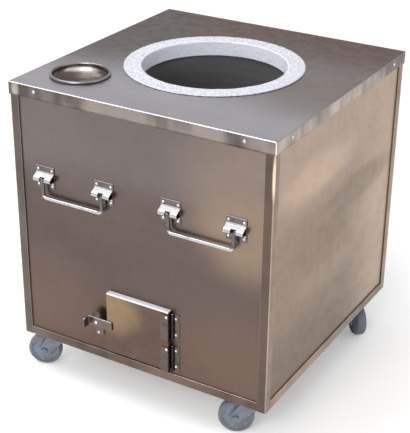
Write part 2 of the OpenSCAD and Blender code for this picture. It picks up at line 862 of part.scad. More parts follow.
module latch_bar() {
    color("#a3a19e")
    difference() {
        translate([latch_x, 0, latch_z]) {
            translate([-latch_tail, -latch_front, -latch_h / 2]) cube([latch_tail + latch_reach, latch_t, latch_h]);
            translate([-latch_tail, -latch_back - latch_tab, -latch_h / 2]) cube([latch_t, latch_tab, latch_h]);
        }
        translate([latch_x, -latch_front - bite, latch_z]) rotate([-90, 0, 0])
            cylinder(d = latch_pin_d + 2 * run_gap, h = latch_t + 2 * bite);
    }
}

// ---------- bowl ----------

module drop_in_bowl() {
    r_in = bowl_d / 2;
    floor_z = top_z - bowl_depth;
    bead_z = top_z + face_gap + bead_r;
    color("#9a9692")
    translate([-bowl_left, -bowl_front, 0]) rotate_extrude($fn = 96) {
        difference() {
            union() {
                translate([0, floor_z - bowl_t]) square([r_in - bowl_fillet, bowl_t + bowl_fillet]);
                translate([0, floor_z + bowl_fillet]) square([r_in + bowl_t, bead_z - floor_z - bowl_fillet]);
                translate([r_in - bowl_fillet, floor_z + bowl_fillet]) intersection() {
                    circle(bowl_fillet + bowl_t);
                    translate([-bite, -2 * bowl_fillet]) square([2 * bowl_fillet, 2 * bowl_fillet + bite]);
                }
            }
            translate([0, floor_z]) square([r_in - bowl_fillet, bowl_depth + 2 * bead_r]);
            translate([0, floor_z + bowl_fillet]) square([r_in, bowl_depth]);
            translate([r_in - bowl_fillet, floor_z + bowl_fillet]) circle(bowl_fillet);
        }
        translate([r_in + bead_r, bead_z]) circle(bead_r);
    }
}

// ---------- castors ----------

// Castor number i, with its swivel axis at the origin and its wheel trailing along +X.
module at_castor(i) {
    translate([castor_side[i].x * stem_x, castor_side[i].y * stem_y, 0]) rotate([0, 0, castor_turn[i]]) children();
}

module castor_bolt_places() {
    at_corners(stem_x, stem_y)
        for (sx = [-1, 1], sy = [-1, 1]) translate([sx * bolt_l / 2, sy * bolt_w / 2, 0]) children();
}

module castor_bolt_holes(z0, z1) {
    castor_bolt_places() translate([0, 0, z0]) cylinder(d = bolt_d + 2 * shank_gap, h = z1 - z0);
}

module castor_plates() {
    color("#9ba0a6")
    difference() {
        at_corners(stem_x, stem_y) {
            translate([-plate_l / 2, -plate_w / 2, plate_z]) cube([plate_l, plate_w, fork_t]);
            translate([0, 0, plate_z - upper_race_h]) cylinder(d = race_d, h = upper_race_h + fork_t / 2);
        }
        at_corners(stem_x, stem_y) cylinder(d = kingpin_d + 2 * shank_gap, h = frame_z + bite);
        castor_bolt_holes(plate_z - bite, frame_z + bite);
    }
}

module castor_bolts() {
    color("#a9a9a9")
    castor_bolt_places() {
        translate([0, 0, plate_z - bolt_d * 0.65]) cylinder(d = bolt_d * 1.9, h = bolt_d * 0.65, $fn = 6);
        translate([0, 0, plate_z - bite]) cylinder(d = bolt_d, h = base_top_z - plate_z + bite);
    }
}

module castor_kingpins() {
    color("#a9a9a9")
    at_corners(stem_x, stem_y) {
        translate([0, 0, crown_z - face_gap - kingpin_head]) cylinder(d = kingpin_d * 1.7, h = kingpin_head, $fn = 6);
        translate([0, 0, crown_z - face_gap - bite]) cylinder(d = kingpin_d, h = frame_z - crown_z + face_gap + bite);
    }
}

// Side view of one fork leg as [x, z]: wide at the crown, round about the axle.
module fork_leg_side() {
    axle = [trail, wheel_r];
    back = [crown_back, crown_z + fork_t];
    front = [-crown_front, crown_z - 2 * fork_t];
    translate(axle) circle(fork_end_r);
    polygon([[-crown_front, crown_z + fork_t], back, touch_point(back, axle, fork_end_r, 1), axle,
        touch_point(front, axle, fork_end_r, -1), front]);
}

module fork(i) {
    color("#8f99a6")
    at_castor(i) difference() {
        union() {
            translate([-crown_front, -leg_out, crown_z]) cube([crown_front + crown_back, 2 * leg_out, fork_t]);
            translate([0, 0, crown_z]) cylinder(d = race_d + 4, h = fork_t);
            translate([0, 0, crown_z]) cylinder(d = race_d, h = plate_z - upper_race_h - face_gap - crown_z);
            for (s = [-1, 1]) translate([0, s * (leg_in + fork_t / 2), 0]) rotate([90, 0, 0])
                linear_extrude(fork_t, center = true) fork_leg_side();
        }
        cylinder(d = kingpin_d + 2 * run_gap, h = frame_z);
        translate([trail, 0, wheel_r]) rotate([90, 0, 0])
            cylinder(d = axle_d + 2 * shank_gap, h = 4 * leg_out, center = true);
    }
}

module axle(i) {
    head = axle_d * 0.55;
    color("#a9a9a9")
    at_castor(i) translate([trail, 0, wheel_r]) rotate([90, 0, 0]) {
        cylinder(d = axle_d, h = 2 * leg_out + head, center = true);
        for (s = [-1, 1]) translate([0, 0, s * (leg_out + head / 2)])
            cylinder(d = axle_d * 1.7, h = head, center = true, $fn = 6);
    }
}

module tyre(i) {
    shoulder = (wheel_r - rim_r) * 0.48;
    color("#6f7885")
    at_castor(i) translate([trail, 0, wheel_r]) rotate([90, 0, 0]) rotate_extrude($fn = 96) {
        translate([rim_r, -tyre_w / 2]) square([wheel_r - rim_r - shoulder, tyre_w]);
        translate([rim_r, -tyre_w / 2 + shoulder]) square([wheel_r - rim_r, tyre_w - 2 * shoulder]);
        for (s = [-1, 1]) translate([wheel_r - shoulder, s * (tyre_w / 2 - shoulder)]) circle(shoulder);
    }
}

module hub(i) {
    hub_w = 2 * leg_in - 2 * face_gap;
    color("#8893a3")
    at_castor(i) translate([trail, 0, wheel_r]) rotate([90, 0, 0]) difference() {
        rotate_extrude($fn = 96) {
            translate([0, -hub_w / 2]) square([hub_r, hub_w]);
            translate([0, -tyre_w / 6]) square([rim_r - face_gap, tyre_w / 3]);
            translate([rim_r - face_gap - 3, -tyre_w * 0.42]) square([3, tyre_w * 0.84]);
        }
        cylinder(d = axle_d + 2 * run_gap, h = hub_w + 2 * bite, center = true);
    }
}

module front_left_fork() fork(0);
module front_right_fork() fork(1);
module rear_left_fork() fork(2);
module rear_right_fork() fork(3);
module front_left_axle() axle(0);
module front_right_axle() axle(1);
module rear_left_axle() axle(2);
module rear_right_axle() axle(3);
module front_left_tyre() tyre(0);
module front_right_tyre() tyre(1);
module rear_left_tyre() tyre(2);
module rear_right_tyre() tyre(3);
module front_left_hub() hub(0);
module front_right_hub() hub(1);
module rear_left_hub() hub(2);
module rear_right_hub() hub(3);

corner_posts();
base_rails();
top_rails();
castor_pads();
base_plate();
front_panel();
rear_panel();
left_panel();
right_panel();
top_sheet();
mouth_ring();
clay_pot();
insulation_fill();
hearth_slab();
draught_duct();
fire_grate();
skirt_screws();
handle_brackets();
handle_rivets();
hinge_fixed_leaves();
hinge_pins();
hinge_rivets();
latch_bracket();
latch_rivets();
latch_pivot();
castor_plates();
castor_bolts();
castor_kingpins();
door_tray();
door_liner();
door_insulation();
hinge_door_leaves();
door_rivets();
latch_bar();
drop_in_bowl();
front_left_bail();
front_right_bail();
rear_left_bail();
rear_right_bail();
front_left_fork();
front_right_fork();
rear_left_fork();
rear_right_fork();
front_left_axle();
front_right_axle();
rear_left_axle();
rear_right_axle();
front_left_tyre();
front_right_tyre();
rear_left_tyre();
rear_right_tyre();
front_left_hub();
front_right_hub();
rear_left_hub();
rear_right_hub();
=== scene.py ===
"""Dresses the clay tandoor oven's frame: steel sheet, handles, door, castors, ceramic mouth and pot.

Shapes are worked out in millimetres and put into their meshes in metres, in the frame's own axes:
X to the right, Y to the back, Z up from the floor.
"""

import json
import math
from contextlib import contextmanager

import bmesh
import bpy
import numpy as np
from mathutils import Matrix, Vector


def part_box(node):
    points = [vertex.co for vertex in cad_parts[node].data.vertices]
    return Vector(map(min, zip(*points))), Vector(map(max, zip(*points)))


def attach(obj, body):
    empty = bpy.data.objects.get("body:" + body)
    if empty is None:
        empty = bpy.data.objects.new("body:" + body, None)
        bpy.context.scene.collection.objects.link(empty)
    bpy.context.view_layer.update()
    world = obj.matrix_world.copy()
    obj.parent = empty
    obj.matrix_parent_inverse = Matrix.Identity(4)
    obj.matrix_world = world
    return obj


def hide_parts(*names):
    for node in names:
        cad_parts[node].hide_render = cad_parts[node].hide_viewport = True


bl_info = {
    "name": "Clay tandoor oven",
    "version": (1, 0, 0),
    "blender": (4, 5, 0),
    "location": "3D View > Sidebar > Tandoor",
    "description": "Makes the pieces and finishes of a clay pot oven in a steel cabinet",
    "category": "Object",
}

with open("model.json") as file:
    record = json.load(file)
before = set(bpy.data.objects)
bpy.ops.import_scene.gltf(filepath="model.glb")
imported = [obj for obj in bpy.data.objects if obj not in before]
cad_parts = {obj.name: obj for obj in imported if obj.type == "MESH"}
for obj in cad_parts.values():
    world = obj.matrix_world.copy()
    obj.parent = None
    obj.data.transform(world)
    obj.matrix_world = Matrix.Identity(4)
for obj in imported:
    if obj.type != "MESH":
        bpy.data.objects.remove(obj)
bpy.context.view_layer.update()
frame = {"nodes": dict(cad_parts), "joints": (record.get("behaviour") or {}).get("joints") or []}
JOINTS = {j["name"]: j for j in frame["joints"]}
CORNERS = ("front_left", "front_right", "rear_left", "rear_right")
X, Y, Z = np.eye(3)
FRONT = (X, Z, -Y)  # a form's own three axes when it lies on the oven's front: right, up and out


def box_mm(node):
    """A CAD node's lowest and highest corners, in millimetres."""
    low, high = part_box(node)
    return np.array(low) * 1000, np.array(high) * 1000


def joint_mm(name):
    """The place of a joint's axis, in millimetres."""
    return np.array(JOINTS[name]["pos_m"], float) * 1000


# ---------- shapes: each is (points, [faces with equally many corners, ...]) ----------


def quads(rows, cols, wrap_rows=False, wrap_cols=False):
    """Corner numbers of the four-sided faces of a grid of points, kept row by row."""
    row = np.arange(rows if wrap_rows else rows - 1)[:, None]
    col = np.arange(cols if wrap_cols else cols - 1)
    row1, col1 = (row + 1) % rows, (col + 1) % cols
    corners = (row * cols + col, row * cols + col1, row1 * cols + col1, row1 * cols + col)
    return np.stack(corners, -1).reshape(-1, 4)


def between(rows):
    """The four-sided faces between closed rows of corner numbers."""
    low, high = rows[:-1], rows[1:]
    return np.stack([low, np.roll(low, -1, 1), np.roll(high, -1, 1), high], -1).reshape(-1, 4)


def outward(form):
    """A closed form with its faces turned out: the sum of the faces' cone volumes must be positive."""
    points, faces = form
    volume = 0.0
    for group in faces:
        corner = points[group]
        for k in range(1, group.shape[1] - 1):
            volume += np.einsum("ij,ij->", corner[:, 0], np.cross(corner[:, k], corner[:, k + 1]))
    return form if volume > 0 else (points, [group[:, ::-1] for group in faces])


def joined(forms):
    """Several forms as one."""
    points, faces, base = [], [], 0
    for form in forms:
        points.append(form[0])
        faces += [group + base for group in form[1]]
        base += len(form[0])
    return np.concatenate(points), faces


def placed(form, origin, u=X, v=Y, w=Z):
    """The form with its own three axes laid along u, v and w from origin, and its faces still outwards."""
    axes = np.array([u, v, w], float)
    mirrored = np.linalg.det(axes) < 0
    return origin + form[0] @ axes, [group[:, ::-1] for group in form[1]] if mirrored else form[1]


def arcs(corner, before, after, radius, steps):
    """Round corners of a flat path: a circle of the radius touches both sides of each corner."""
    a, b = before - corner, after - corner
    a /= np.linalg.norm(a, axis=1, keepdims=True)
    b /= np.linalg.norm(b, axis=1, keepdims=True)
    half = np.arccos(np.clip((a * b).sum(1), -1, 1)) / 2
    radius = np.broadcast_to(np.asarray(radius, float), half.shape)
    reach = (radius / np.tan(half))[:, None]
    bisector = (a + b) / np.linalg.norm(a + b, axis=1, keepdims=True)
    centre = corner + bisector * (radius / np.sin(half))[:, None]
    start, end = corner + a * reach - centre, corner + b * reach - centre
    first = np.arctan2(start[:, 1], start[:, 0])
    turn = (np.arctan2(end[:, 1], end[:, 0]) - first + np.pi) % (2 * np.pi) - np.pi
    angle = first[:, None] + turn[:, None] * np.linspace(0, 1, steps)
    return centre[:, None] + radius[:, None, None] * np.stack([np.cos(angle), np.sin(angle)], -1)


def rounded(points, radius, steps=5):
    """A closed flat outline whose corners are arcs."""
    c = np.asarray(points, float)
    return arcs(c, np.roll(c, 1, 0), np.roll(c, -1, 0), radius, steps).reshape(-1, 2)


def bent(points, radius, steps=6):
    """An open flat path whose inner corners are arcs."""
    p = np.asarray(points, float)
    return np.concatenate([p[:1], arcs(p[1:-1], p[:-2], p[2:], radius, steps).reshape(-1, 2), p[-1:]])


def spaced(path, step, closed=False):
    """Points at equal steps along a path, by its length."""
    if closed:
        path = np.concatenate([path, path[:1]])
    length = np.concatenate([[0], np.cumsum(np.linalg.norm(np.diff(path, axis=0), axis=1))])
    count = max(int(round(length[-1] / step)), 2)
    at = np.linspace(0, length[-1], count + 1)
    if closed:
        at = at[:-1]
    return np.stack([np.interp(at, length, path[:, k]) for k in range(path.shape[1])], -1)


def normals2(path, closed=False):
    """Unit normals of a flat path, a quarter turn clockwise from its direction."""
    if closed:
        along = np.roll(path, -1, 0) - np.roll(path, 1, 0)
    else:
        along = np.gradient(path, axis=0)
    along /= np.maximum(np.linalg.norm(along, axis=1, keepdims=True), 1e-9)
    return np.stack([along[:, 1], -along[:, 0]], -1)


def strip(path, thickness):
    """The closed outline of a bent sheet seen on edge: its middle line moved half a thickness each way."""
    side = normals2(path) * thickness / 2
    return np.concatenate([path + side, (path - side)[::-1]])


def prism(outline, low, high, edge):
    """A flat outline (u, v) carried along w from low to high. Its rims are rounded: within edge of each end
    the outline shrinks along its normals as a quarter circle."""
    area = (outline[:, 0] * np.roll(outline[:, 1], -1) - outline[:, 1] * np.roll(outline[:, 0], -1)).sum()
    if area < 0:
        outline = outline[::-1]
    normal = normals2(outline, True)
    turn = np.linspace(0, np.pi / 2, 3)
    inset = edge * (1 - np.sin(turn))
    rise = edge * (1 - np.cos(turn))
    inset = np.concatenate([inset, inset[::-1]])
    level = np.concatenate([low + rise, high - rise[::-1]])
    flat = outline[None] - normal[None] * inset[:, None, None]
    grid = np.concatenate([flat, np.broadcast_to(level[:, None, None], flat.shape[:2] + (1,))], -1)
    n = len(outline)
    ends = np.stack([np.arange(n)[::-1], np.arange(n) + n * (len(level) - 1)])
    return outward((grid.reshape(-1, 3), [quads(len(level), n, wrap_cols=True), ends]))


def lathe(profile, count, closed=True, shift=None):
    """A profile (radius, height) turned round w. shift(angle, radius, height) may move each point along the
    radius and the height."""
    angle = np.linspace(0, 2 * np.pi, count, endpoint=False)
    radius = np.broadcast_to(profile[:, None, 0], (len(profile), count))
    height = np.broadcast_to(profile[:, None, 1], (len(profile), count))
    if shift:
        radius, height = shift(angle[None], radius, height)
    grid = np.stack([radius * np.cos(angle), radius * np.sin(angle), height], -1)
    return outward((grid.reshape(-1, 3), [quads(len(profile), count, closed, True)]))


def tube(path, radius, side, count):
    """A round rod: circles of the given radii, each square to a path in the plane that side is normal to."""
    along = np.gradient(path, axis=0)
    along /= np.linalg.norm(along, axis=1, keepdims=True)
    across = np.cross(along, side)
    angle = np.linspace(0, 2 * np.pi, count, endpoint=False)
    ring = across[:, None] * np.cos(angle)[:, None] + side * np.sin(angle)[:, None]
    grid = path[:, None] + ring * np.asarray(radius)[:, None, None]
    return outward((grid.reshape(-1, 3), [quads(len(path), count, wrap_cols=True)]))


def leaf(path, stations, low, high, keep=None):
    """A bent sheet's middle surface: a flat path (u, v) carried along w. At each path point the sheet runs
    from low to high along w, at the shares that stations gives; keep(row, column) picks its faces."""
    rows, cols = len(path), len(stations)
    low, high = np.broadcast_to(low, rows), np.broadcast_to(high, rows)
    w = low[:, None] + (high - low)[:, None] * stations[None]
    grid = np.concatenate([np.broadcast_to(path[:, None], (rows, cols, 2)), w[..., None]], -1)
    faces = quads(rows, cols)
    if keep is not None:
        faces = faces[keep.reshape(-1)]
    return grid.reshape(-1, 3), [faces]


def ring_of(half_u, half_v, radius, side=36, arc=5):
    """Points round a rectangle with round corners, always as many, counter-clockwise from the lower right:
    arc points to each corner and side points between two corners."""
    angle = np.radians(np.array([-90, 0, 90, 180])[:, None] + np.linspace(0, 90, arc))
    centre = np.array([[1, -1], [1, 1], [-1, 1], [-1, -1]]) * [half_u - radius, half_v - radius]
    bends = centre[:, None] + radius * np.stack([np.cos(angle), np.sin(angle)], -1)
    share = np.linspace(0, 1, side + 2)[1:-1][:, None]
    sides = bends[:, -1:] * (1 - share) + np.roll(bends[:, :1], -1, 0) * share
    return np.concatenate([bends, sides], 1).reshape(-1, 2)


def notched_leaf(path, half, cut, inner, whole, middle_kept=False):
    """A leaf from -half to half along w, with inner columns inside its cut from -cut to cut. Where whole says
    so the row of faces is complete. Elsewhere the faces in the cut are left out, or with middle_kept they
    are the only ones."""
    sides = [np.linspace(-half, -cut, 6), np.linspace(-cut, cut, inner), np.linspace(cut, half, 6)]
    w = np.unique(np.concatenate(sides))
    inside = np.abs((w[1:] + w[:-1]) / 2) < cut
    keep = whole[:, None] | (inside if middle_kept else ~inside)
    return leaf(path, (w + half) / (2 * half), -half, half, keep)


def fold_profile(low, top, fold, flats):
    """A folded sheet's profile (inset, height): up its side, round the fold, then flat to each of flats."""
    turn = np.radians(np.linspace(0, 90, 7))[1:]
    side = [(0.0, z) for z in np.linspace(low, top - fold, 5)]
    bend = [(fold * (1 - math.cos(a)), top - fold + fold * math.sin(a)) for a in turn]
    return side + bend + [(inset, top) for inset in flats]


def pan(half_u, half_v, corner, profile, dent):
    """A tray of folded sheet, open at the back: rings round a rectangle follow the profile (inset, height),
    then shrink evenly to 12 % of their size, where one face closes them. dent(u, v) lowers the face."""
    rings = [ring_of(half_u - i, half_v - i, max(corner - i, 0.3)) for i, _ in profile]
    shares = np.linspace(1, 0.12, 15)[1:]
    flat = np.array(rings + [rings[-1] * share for share in shares])
    height = np.array([h for _, h in profile] + [profile[-1][1]] * len(shares))[:, None]
    edge = np.maximum(np.abs(flat[..., 0]) / half_u, np.abs(flat[..., 1]) / half_v)
    height = height - dent(flat[..., 0], flat[..., 1]) * np.clip((1 - edge) * 5, 0, 1)
    rows, cols = height.shape
    points = np.concatenate([flat, height[..., None]], -1).reshape(-1, 3)
    return points, [quads(rows, cols, wrap_cols=True), np.arange(cols)[None] + (rows - 1) * cols]


def touch(point, centre, radius, side):
    """Where a line from a point touches a circle, on its left (side 1) or right (side -1)."""
    gap = np.asarray(centre, float) - point
    length = np.hypot(*gap)
    angle = math.atan2(gap[1], gap[0]) + side * math.asin(radius / length)
    return point + math.sqrt(length**2 - radius**2) * np.array([math.cos(angle), math.sin(angle)])


def arc_points(centre, radius, first, last, count):
    """Points on a circle, from one angle to another in degrees."""
    angle = np.radians(np.linspace(first, last, count))
    return np.asarray(centre) + radius * np.stack([np.cos(angle), np.sin(angle)], -1)


def grain(points, size, seed):
    """Smooth noise from -1 to 1: random values at lattice points the given size apart, eased between them."""
    q = points / size
    cell = np.floor(q)
    f = q - cell
    f = f * f * (3 - 2 * f)
    total = 0.0
    for dx in (0, 1):
        for dy in (0, 1):
            for dz in (0, 1):
                corner = cell + [dx, dy, dz]
                value = np.sin(corner @ [127.1, 311.7, 74.7] + seed * 17.3) * 43758.5453
                weight = np.ones(f.shape[:-1])
                for k, d in enumerate((dx, dy, dz)):
                    weight = weight * (f[..., k] if d else 1 - f[..., k])
                total = total + weight * ((value - np.floor(value)) * 2 - 1)
    return total


def buckle(a, b, seed):
    """How far a thin sheet is pushed in, from 0 to 1: three crossing waves, each 200 to 900 mm long."""
    wave = np.sin(a / 71 + seed) * np.cos(b / 93 - seed) + 0.6 * np.sin(a / 47 - b / 61 + 2 * seed)
    return np.clip(0.5 + 0.27 * wave + 0.1 * np.sin(b / 33 + a / 140 + seed), 0, 1)


# ---------- pieces ----------


@contextmanager
def editing(mesh):
    """A mesh opened for bmesh steps, which are written back to it."""
    edit = bmesh.new()
    edit.from_mesh(mesh)
    yield edit
    edit.to_mesh(mesh)
    edit.free()


def finish(mesh, material):
    """Gives a mesh its one material."""
    mesh.materials.clear()
    mesh.materials.append(material)


def shown(name, mesh, material, smooth):
    """An object for the mesh, smooth where faces meet by less than smooth degrees."""
    finish(mesh, material)
    mesh.polygons.foreach_set("use_smooth", np.ones(len(mesh.polygons), bool))
    mesh.set_sharp_from_angle(angle=math.radians(smooth))
    piece = bpy.data.objects.new(name, mesh)
    bpy.context.scene.collection.objects.link(piece)
    return piece


def soften(piece, width):
    """Rounds a piece's edges of more than 40 degrees by width millimetres."""
    edge = piece.modifiers.new("edge", "BEVEL")
    edge.width, edge.segments, edge.limit_method = width / 1000, 2, "ANGLE"
    edge.angle_limit, edge.harden_normals = math.radians(40), True


def stand_in(piece, node, body):
    """Lets a piece ride on a body in the place of a CAD node."""
    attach(piece, body)
    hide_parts(node)


def put(
    name, form, material, node, slot, body="cabinet", smooth=38, weld=False, sheet=0.0, offset=0.0, bevel=0.0
):
    """Makes the form a piece in the place of a CAD node: in metres, with its doubled points joined if weld
    says so, a wall of sheet millimetres round it or, with offset -1, behind it, and rims rounded by bevel."""
    mesh = bpy.data.meshes.new(name)
    mesh.from_pydata((form[0] / 1000).tolist(), [], [face for group in form[1] for face in group.tolist()])
    if weld:
        with editing(mesh) as edit:
            bmesh.ops.remove_doubles(edit, verts=edit.verts, dist=1e-6)
    mesh.validate()
    piece = shown(name, mesh, material, smooth)
    if sheet:
        wall = piece.modifiers.new("wall", "SOLIDIFY")
        wall.thickness, wall.offset, wall.use_even_offset = sheet / 1000, offset, True
    if bevel:
        soften(piece, bevel)
    stand_in(piece, node, body)
    return piece


def softened(node, material, width, body="cabinet"):
    """A merged copy of a CAD node with soft edges, which stands for the node."""
    mesh = frame["nodes"][node].data.copy()
    with editing(mesh) as edit:
        bmesh.ops.remove_doubles(edit, verts=edit.verts, dist=1e-6)
        bmesh.ops.dissolve_limit(edit, angle_limit=math.radians(0.5), verts=edit.verts, edges=edit.edges)
    piece = shown(node + "_softened", mesh, material, 35)
    soften(piece, width)
    stand_in(piece, node, body)


# ---------- materials ----------


class Recipe:
    """A node tree, built step by step. Each step gives the socket in which it ends."""

    def __init__(self, owner, shader="Principled BSDF"):
        """owner is a world, or the name of a new material."""
        self.owner = bpy.data.materials.new(owner) if isinstance(owner, str) else owner
        self.owner.use_nodes = True
        self.tree = self.owner.node_tree
        self.shader = self.tree.nodes[shader]
        self.coords = self.tree.nodes.new("ShaderNodeTexCoord").outputs
        self.place = self.coords["Object"]

    def feed(self, socket, value):
        """Gives a socket another step's result, a colour, a vector or a number."""
        if isinstance(value, bpy.types.NodeSocket):
            self.tree.links.new(value, socket)
        elif isinstance(value, tuple) and len(socket.default_value) == 4:
            socket.default_value = (*value[:3], 1.0)
        else:
            socket.default_value = value

    def node(self, kind, inputs, out=0, **settings):
        """A node with its inputs and settings, and the output that is asked for."""
        made = self.tree.nodes.new(kind)
        for key, value in settings.items():
            setattr(made, key, value)
        for key, value in inputs.items():
            self.feed(made.inputs[key], value)
        return made.outputs[out]

    def stretched(self, scale):
        """Object coordinates, scaled by axis."""
        return self.node("ShaderNodeMapping", {"Vector": self.place, "Scale": scale})

    def noise(self, scale, detail=3.0, rough=0.55, place=None, distort=0.0):
        """Cloudy noise, scale lumps to the metre."""
        inputs = {"Vector": place or self.place, "Scale": scale, "Detail": detail, "Roughness": rough}
        return self.node("ShaderNodeTexNoise", {**inputs, "Distortion": distort}, "Fac")

    def cells(self, scale):
        """Distance to the nearest of scattered points, scale of them to the metre."""
        return self.node("ShaderNodeTexVoronoi", {"Vector": self.place, "Scale": scale}, "Distance")

    def ramp(self, value, low, high, first=0.0, last=1.0):
        """Values from low to high, eased on to first to last."""
        inputs = {"Value": value, "From Min": low, "From Max": high, "To Min": first, "To Max": last}
        return self.node("ShaderNodeMapRange", inputs, interpolation_type="SMOOTHSTEP")

    def math(self, kind, a, b=0.0):
        """The result of a sum, a product or the like."""
        return self.node("ShaderNodeMath", {0: a, 1: b}, operation=kind)

    def mix(self, share, a, b):
        """A colour from a to b."""
        return self.node("ShaderNodeMix", {0: share, 6: a, 7: b}, 2, data_type="RGBA")

    def blend(self, share, a, b):
        """A number from a to b."""
        return self.node("ShaderNodeMix", {0: share, 2: a, 3: b})

    def times(self, tone, factor):
        """A colour times a number."""
        return self.node("ShaderNodeVectorMath", {0: tone, "Scale": factor}, operation="SCALE")

    def axis(self, letter, place=None):
        """One coordinate of a place, in metres."""
        return self.node("ShaderNodeSeparateXYZ", {0: place or self.place}, letter)

    def nearer_side(self):
        """The smaller of the distances from the oven's middle along x and y, in metres."""
        across, deep = (self.math("ABSOLUTE", self.axis(letter)) for letter in "XY")
        return self.math("MINIMUM", across, deep)

    def distance(self, centre, squash=(1, 1, 1)):
        """Distance from a point, in metres, with each axis counted by its own share."""
        away = self.node("ShaderNodeVectorMath", {0: self.place, 1: centre}, operation="SUBTRACT")
        scaled = self.node("ShaderNodeVectorMath", {0: away, 1: squash}, operation="MULTIPLY")
        return self.node("ShaderNodeVectorMath", {0: scaled}, "Value", operation="LENGTH")

    def rays(self, *kinds):
        """1 for a ray of any of these kinds, else 0."""
        path = self.tree.nodes.new("ShaderNodeLightPath").outputs
        share = path[kinds[0]]
        for kind in kinds[1:]:
            share = self.math("MAXIMUM", share, path[kind])
        return share

    def bump(self, height, strength, depth):
        """Raises the surface by a height of at most depth millimetres."""
        inputs = {"Height": height, "Strength": strength, "Distance": depth / 1000}
        self.feed(self.shader.inputs["Normal"], self.node("ShaderNodeBump", inputs))

    def set(self, **values):
        """Gives the shader its values, and hands the owner back."""
        for key, value in values.items():
            self.feed(self.shader.inputs[key.replace("_", " ")], value)
        return self.owner


def shade(colour, share):
    """A colour made lighter or darker by a share."""
    return tuple(c * share for c in colour[:3])


def steel(
    name, colour, rough, across, cloud, depth, smudge, painted_light_tones=(), wander=0.0,
    dull=None, drawn=(1, 1, 1), patchy_sheen=None,
):
    """Brushed or mill-finished steel: fine lines along the axis that across shrinks, clouds, cloud lumps to
    the metre, that darken it down to depth, and smudges that dull it by up to smudge.
    Each of tones paints light or shade on as a second colour: painted reflections, highlights and shade.
    Each is (axis letter, from, to, colour) along an axis, in metres,
    ("corner", from, to, colour) by the smaller of the distances from the middle along x and y, or
    (place, reach, colour, share) round a place, which may carry a share for each axis. wander is how far the
    clouds move their edges, and drawn stretches the clouds. dull is (axis letter, from, to) for where the
    metal turns rough and less metallic, so that a painted highlight there shows pale. patchy, with lumps to
    the metre and their share too, paints patches of reflection, lighter and darker."""
    r = Recipe(name)
    lines = r.noise(1100, 2.0, 0.6, r.stretched(across))
    clouds = r.noise(cloud, 4.0, 0.55, r.stretched(drawn), 0.6)
    drift = r.math("MULTIPLY", r.math("SUBTRACT", clouds, 0.5), wander)
    tone = tuple(colour[:3])
    for where, start, *rest in painted_light_tones:
        if isinstance(where, str):
            end, second = rest
            at = r.nearer_side() if where == "corner" else r.math("ADD", r.axis(where), drift)
            tone = r.mix(r.ramp(at, start, end), tone, second)
        else:
            second, share = rest
            near = r.math("ADD", r.distance(where[:3], where[3:] or (1, 1, 1)), drift)
            tone = r.mix(r.ramp(near, start, start * 0.3, 0.0, share), tone, second)
    grey = r.math("MULTIPLY", r.ramp(clouds, 0.3, 0.7, depth, 1.0), r.ramp(lines, 0.35, 0.65, 0.97, 1.07))
    if patchy_sheen:
        letter, low, high, size, share = patchy_sheen
        # Patches of painted reflection, lighter and darker
        sheen_blotch = r.ramp(r.noise(size, 2.0, place=r.stretched((1, 1, 0.4))), 0.36, 0.64, -0.8 * share, share)
        grey = r.math("ADD", grey, r.math("MULTIPLY", r.ramp(r.axis(letter), low, high), sheen_blotch))
    smudges = r.ramp(r.noise(38, 3.0, 0.6), 0.35, 0.75, 0.0, smudge)
    roughness = r.math("ADD", smudges, r.ramp(lines, 0.3, 0.7, rough - 0.05, rough + 0.05))
    metallic = 1.0
    # The dull stretch turns rough and less metallic, so that a painted highlight there shows pale
    if dull:
        highlight_matte = r.ramp(r.axis(dull[0]), dull[1], dull[2])
        roughness = r.math("MAXIMUM", roughness, r.math("MULTIPLY", highlight_matte, 0.55))
        metallic = r.ramp(highlight_matte, 0.0, 1.0, 1.0, 0.35)
    r.bump(lines, 0.12, 0.02)
    return r.set(Base_Color=r.times(tone, grey), Roughness=roughness, Metallic=metallic)


def bright_steel(name, colour, rough=0.3, dirt=0.55, painted_light_bands=()):
    """Bright drawn or pressed steel with small scratches and a little grime. Each of bands, (axis letter,
    from, to, colour), turns to a second colour along an axis, in metres; the bands paint highlights and
    shade."""
    r = Recipe(name)
    scratches = r.noise(700, 2.0, 0.7, r.stretched((0.08, 1, 1)))
    grime = r.noise(60, 4.0, 0.6)
    tone = tuple(colour[:3])
    for letter, low, high, second in painted_light_bands:
        tone = r.mix(r.ramp(r.axis(letter), low, high), tone, second)
    tone = r.times(tone, r.ramp(grime, 0.5, 0.8, 1.0, dirt))
    roughness = r.ramp(grime, 0.4, 0.8, rough - 0.05, rough + 0.15)
    roughness = r.math("ADD", roughness, r.ramp(scratches, 0.4, 0.7, 0.0, 0.08))
    r.bump(scratches, 0.15, 0.03)
    return r.set(Base_Color=tone, Roughness=roughness, Metallic=1.0)


def ceramic_ring(name, colour):
    """Pale fired ceramic: small dark and light grains, pits, and a painted highlight that makes the wall
    round the bore paler and cooler.
    """
    r = Recipe(name)
    fine, coarse = r.noise(300, 3.0, 0.75), r.noise(110, 4.0, 0.65)
    light = tuple(min(c * 1.14, 0.95) for c in colour[:3])
    tone = r.mix(r.ramp(fine, 0.38, 0.60), shade(colour, 0.72), light)
    tone = r.mix(r.ramp(coarse, 0.54, 0.70, 0.0, 0.5), tone, shade(colour, 0.6))
    pits = r.cells(260)
    tone = r.mix(r.ramp(pits, 0.16, 0.02, 0.0, 0.5), tone, shade(colour, 0.45))
    # Painted highlight: within the bore's radius the ceramic turns paler and cooler
    bore = r.math("MULTIPLY", r.distance((0, 0, 0.67)), r.ramp(fine, 0.3, 0.7, 0.99, 1.01))
    tone = r.mix(r.ramp(bore, 0.1575, 0.1545, 0.0, 0.6), tone, (0.80, 0.825, 0.93))
    r.bump(r.math("ADD", fine, r.math("MULTIPLY", coarse, 0.7)), 0.85, 0.9)
    return r.set(Base_Color=tone, Roughness=r.ramp(coarse, 0.3, 0.7, 0.82, 0.98))


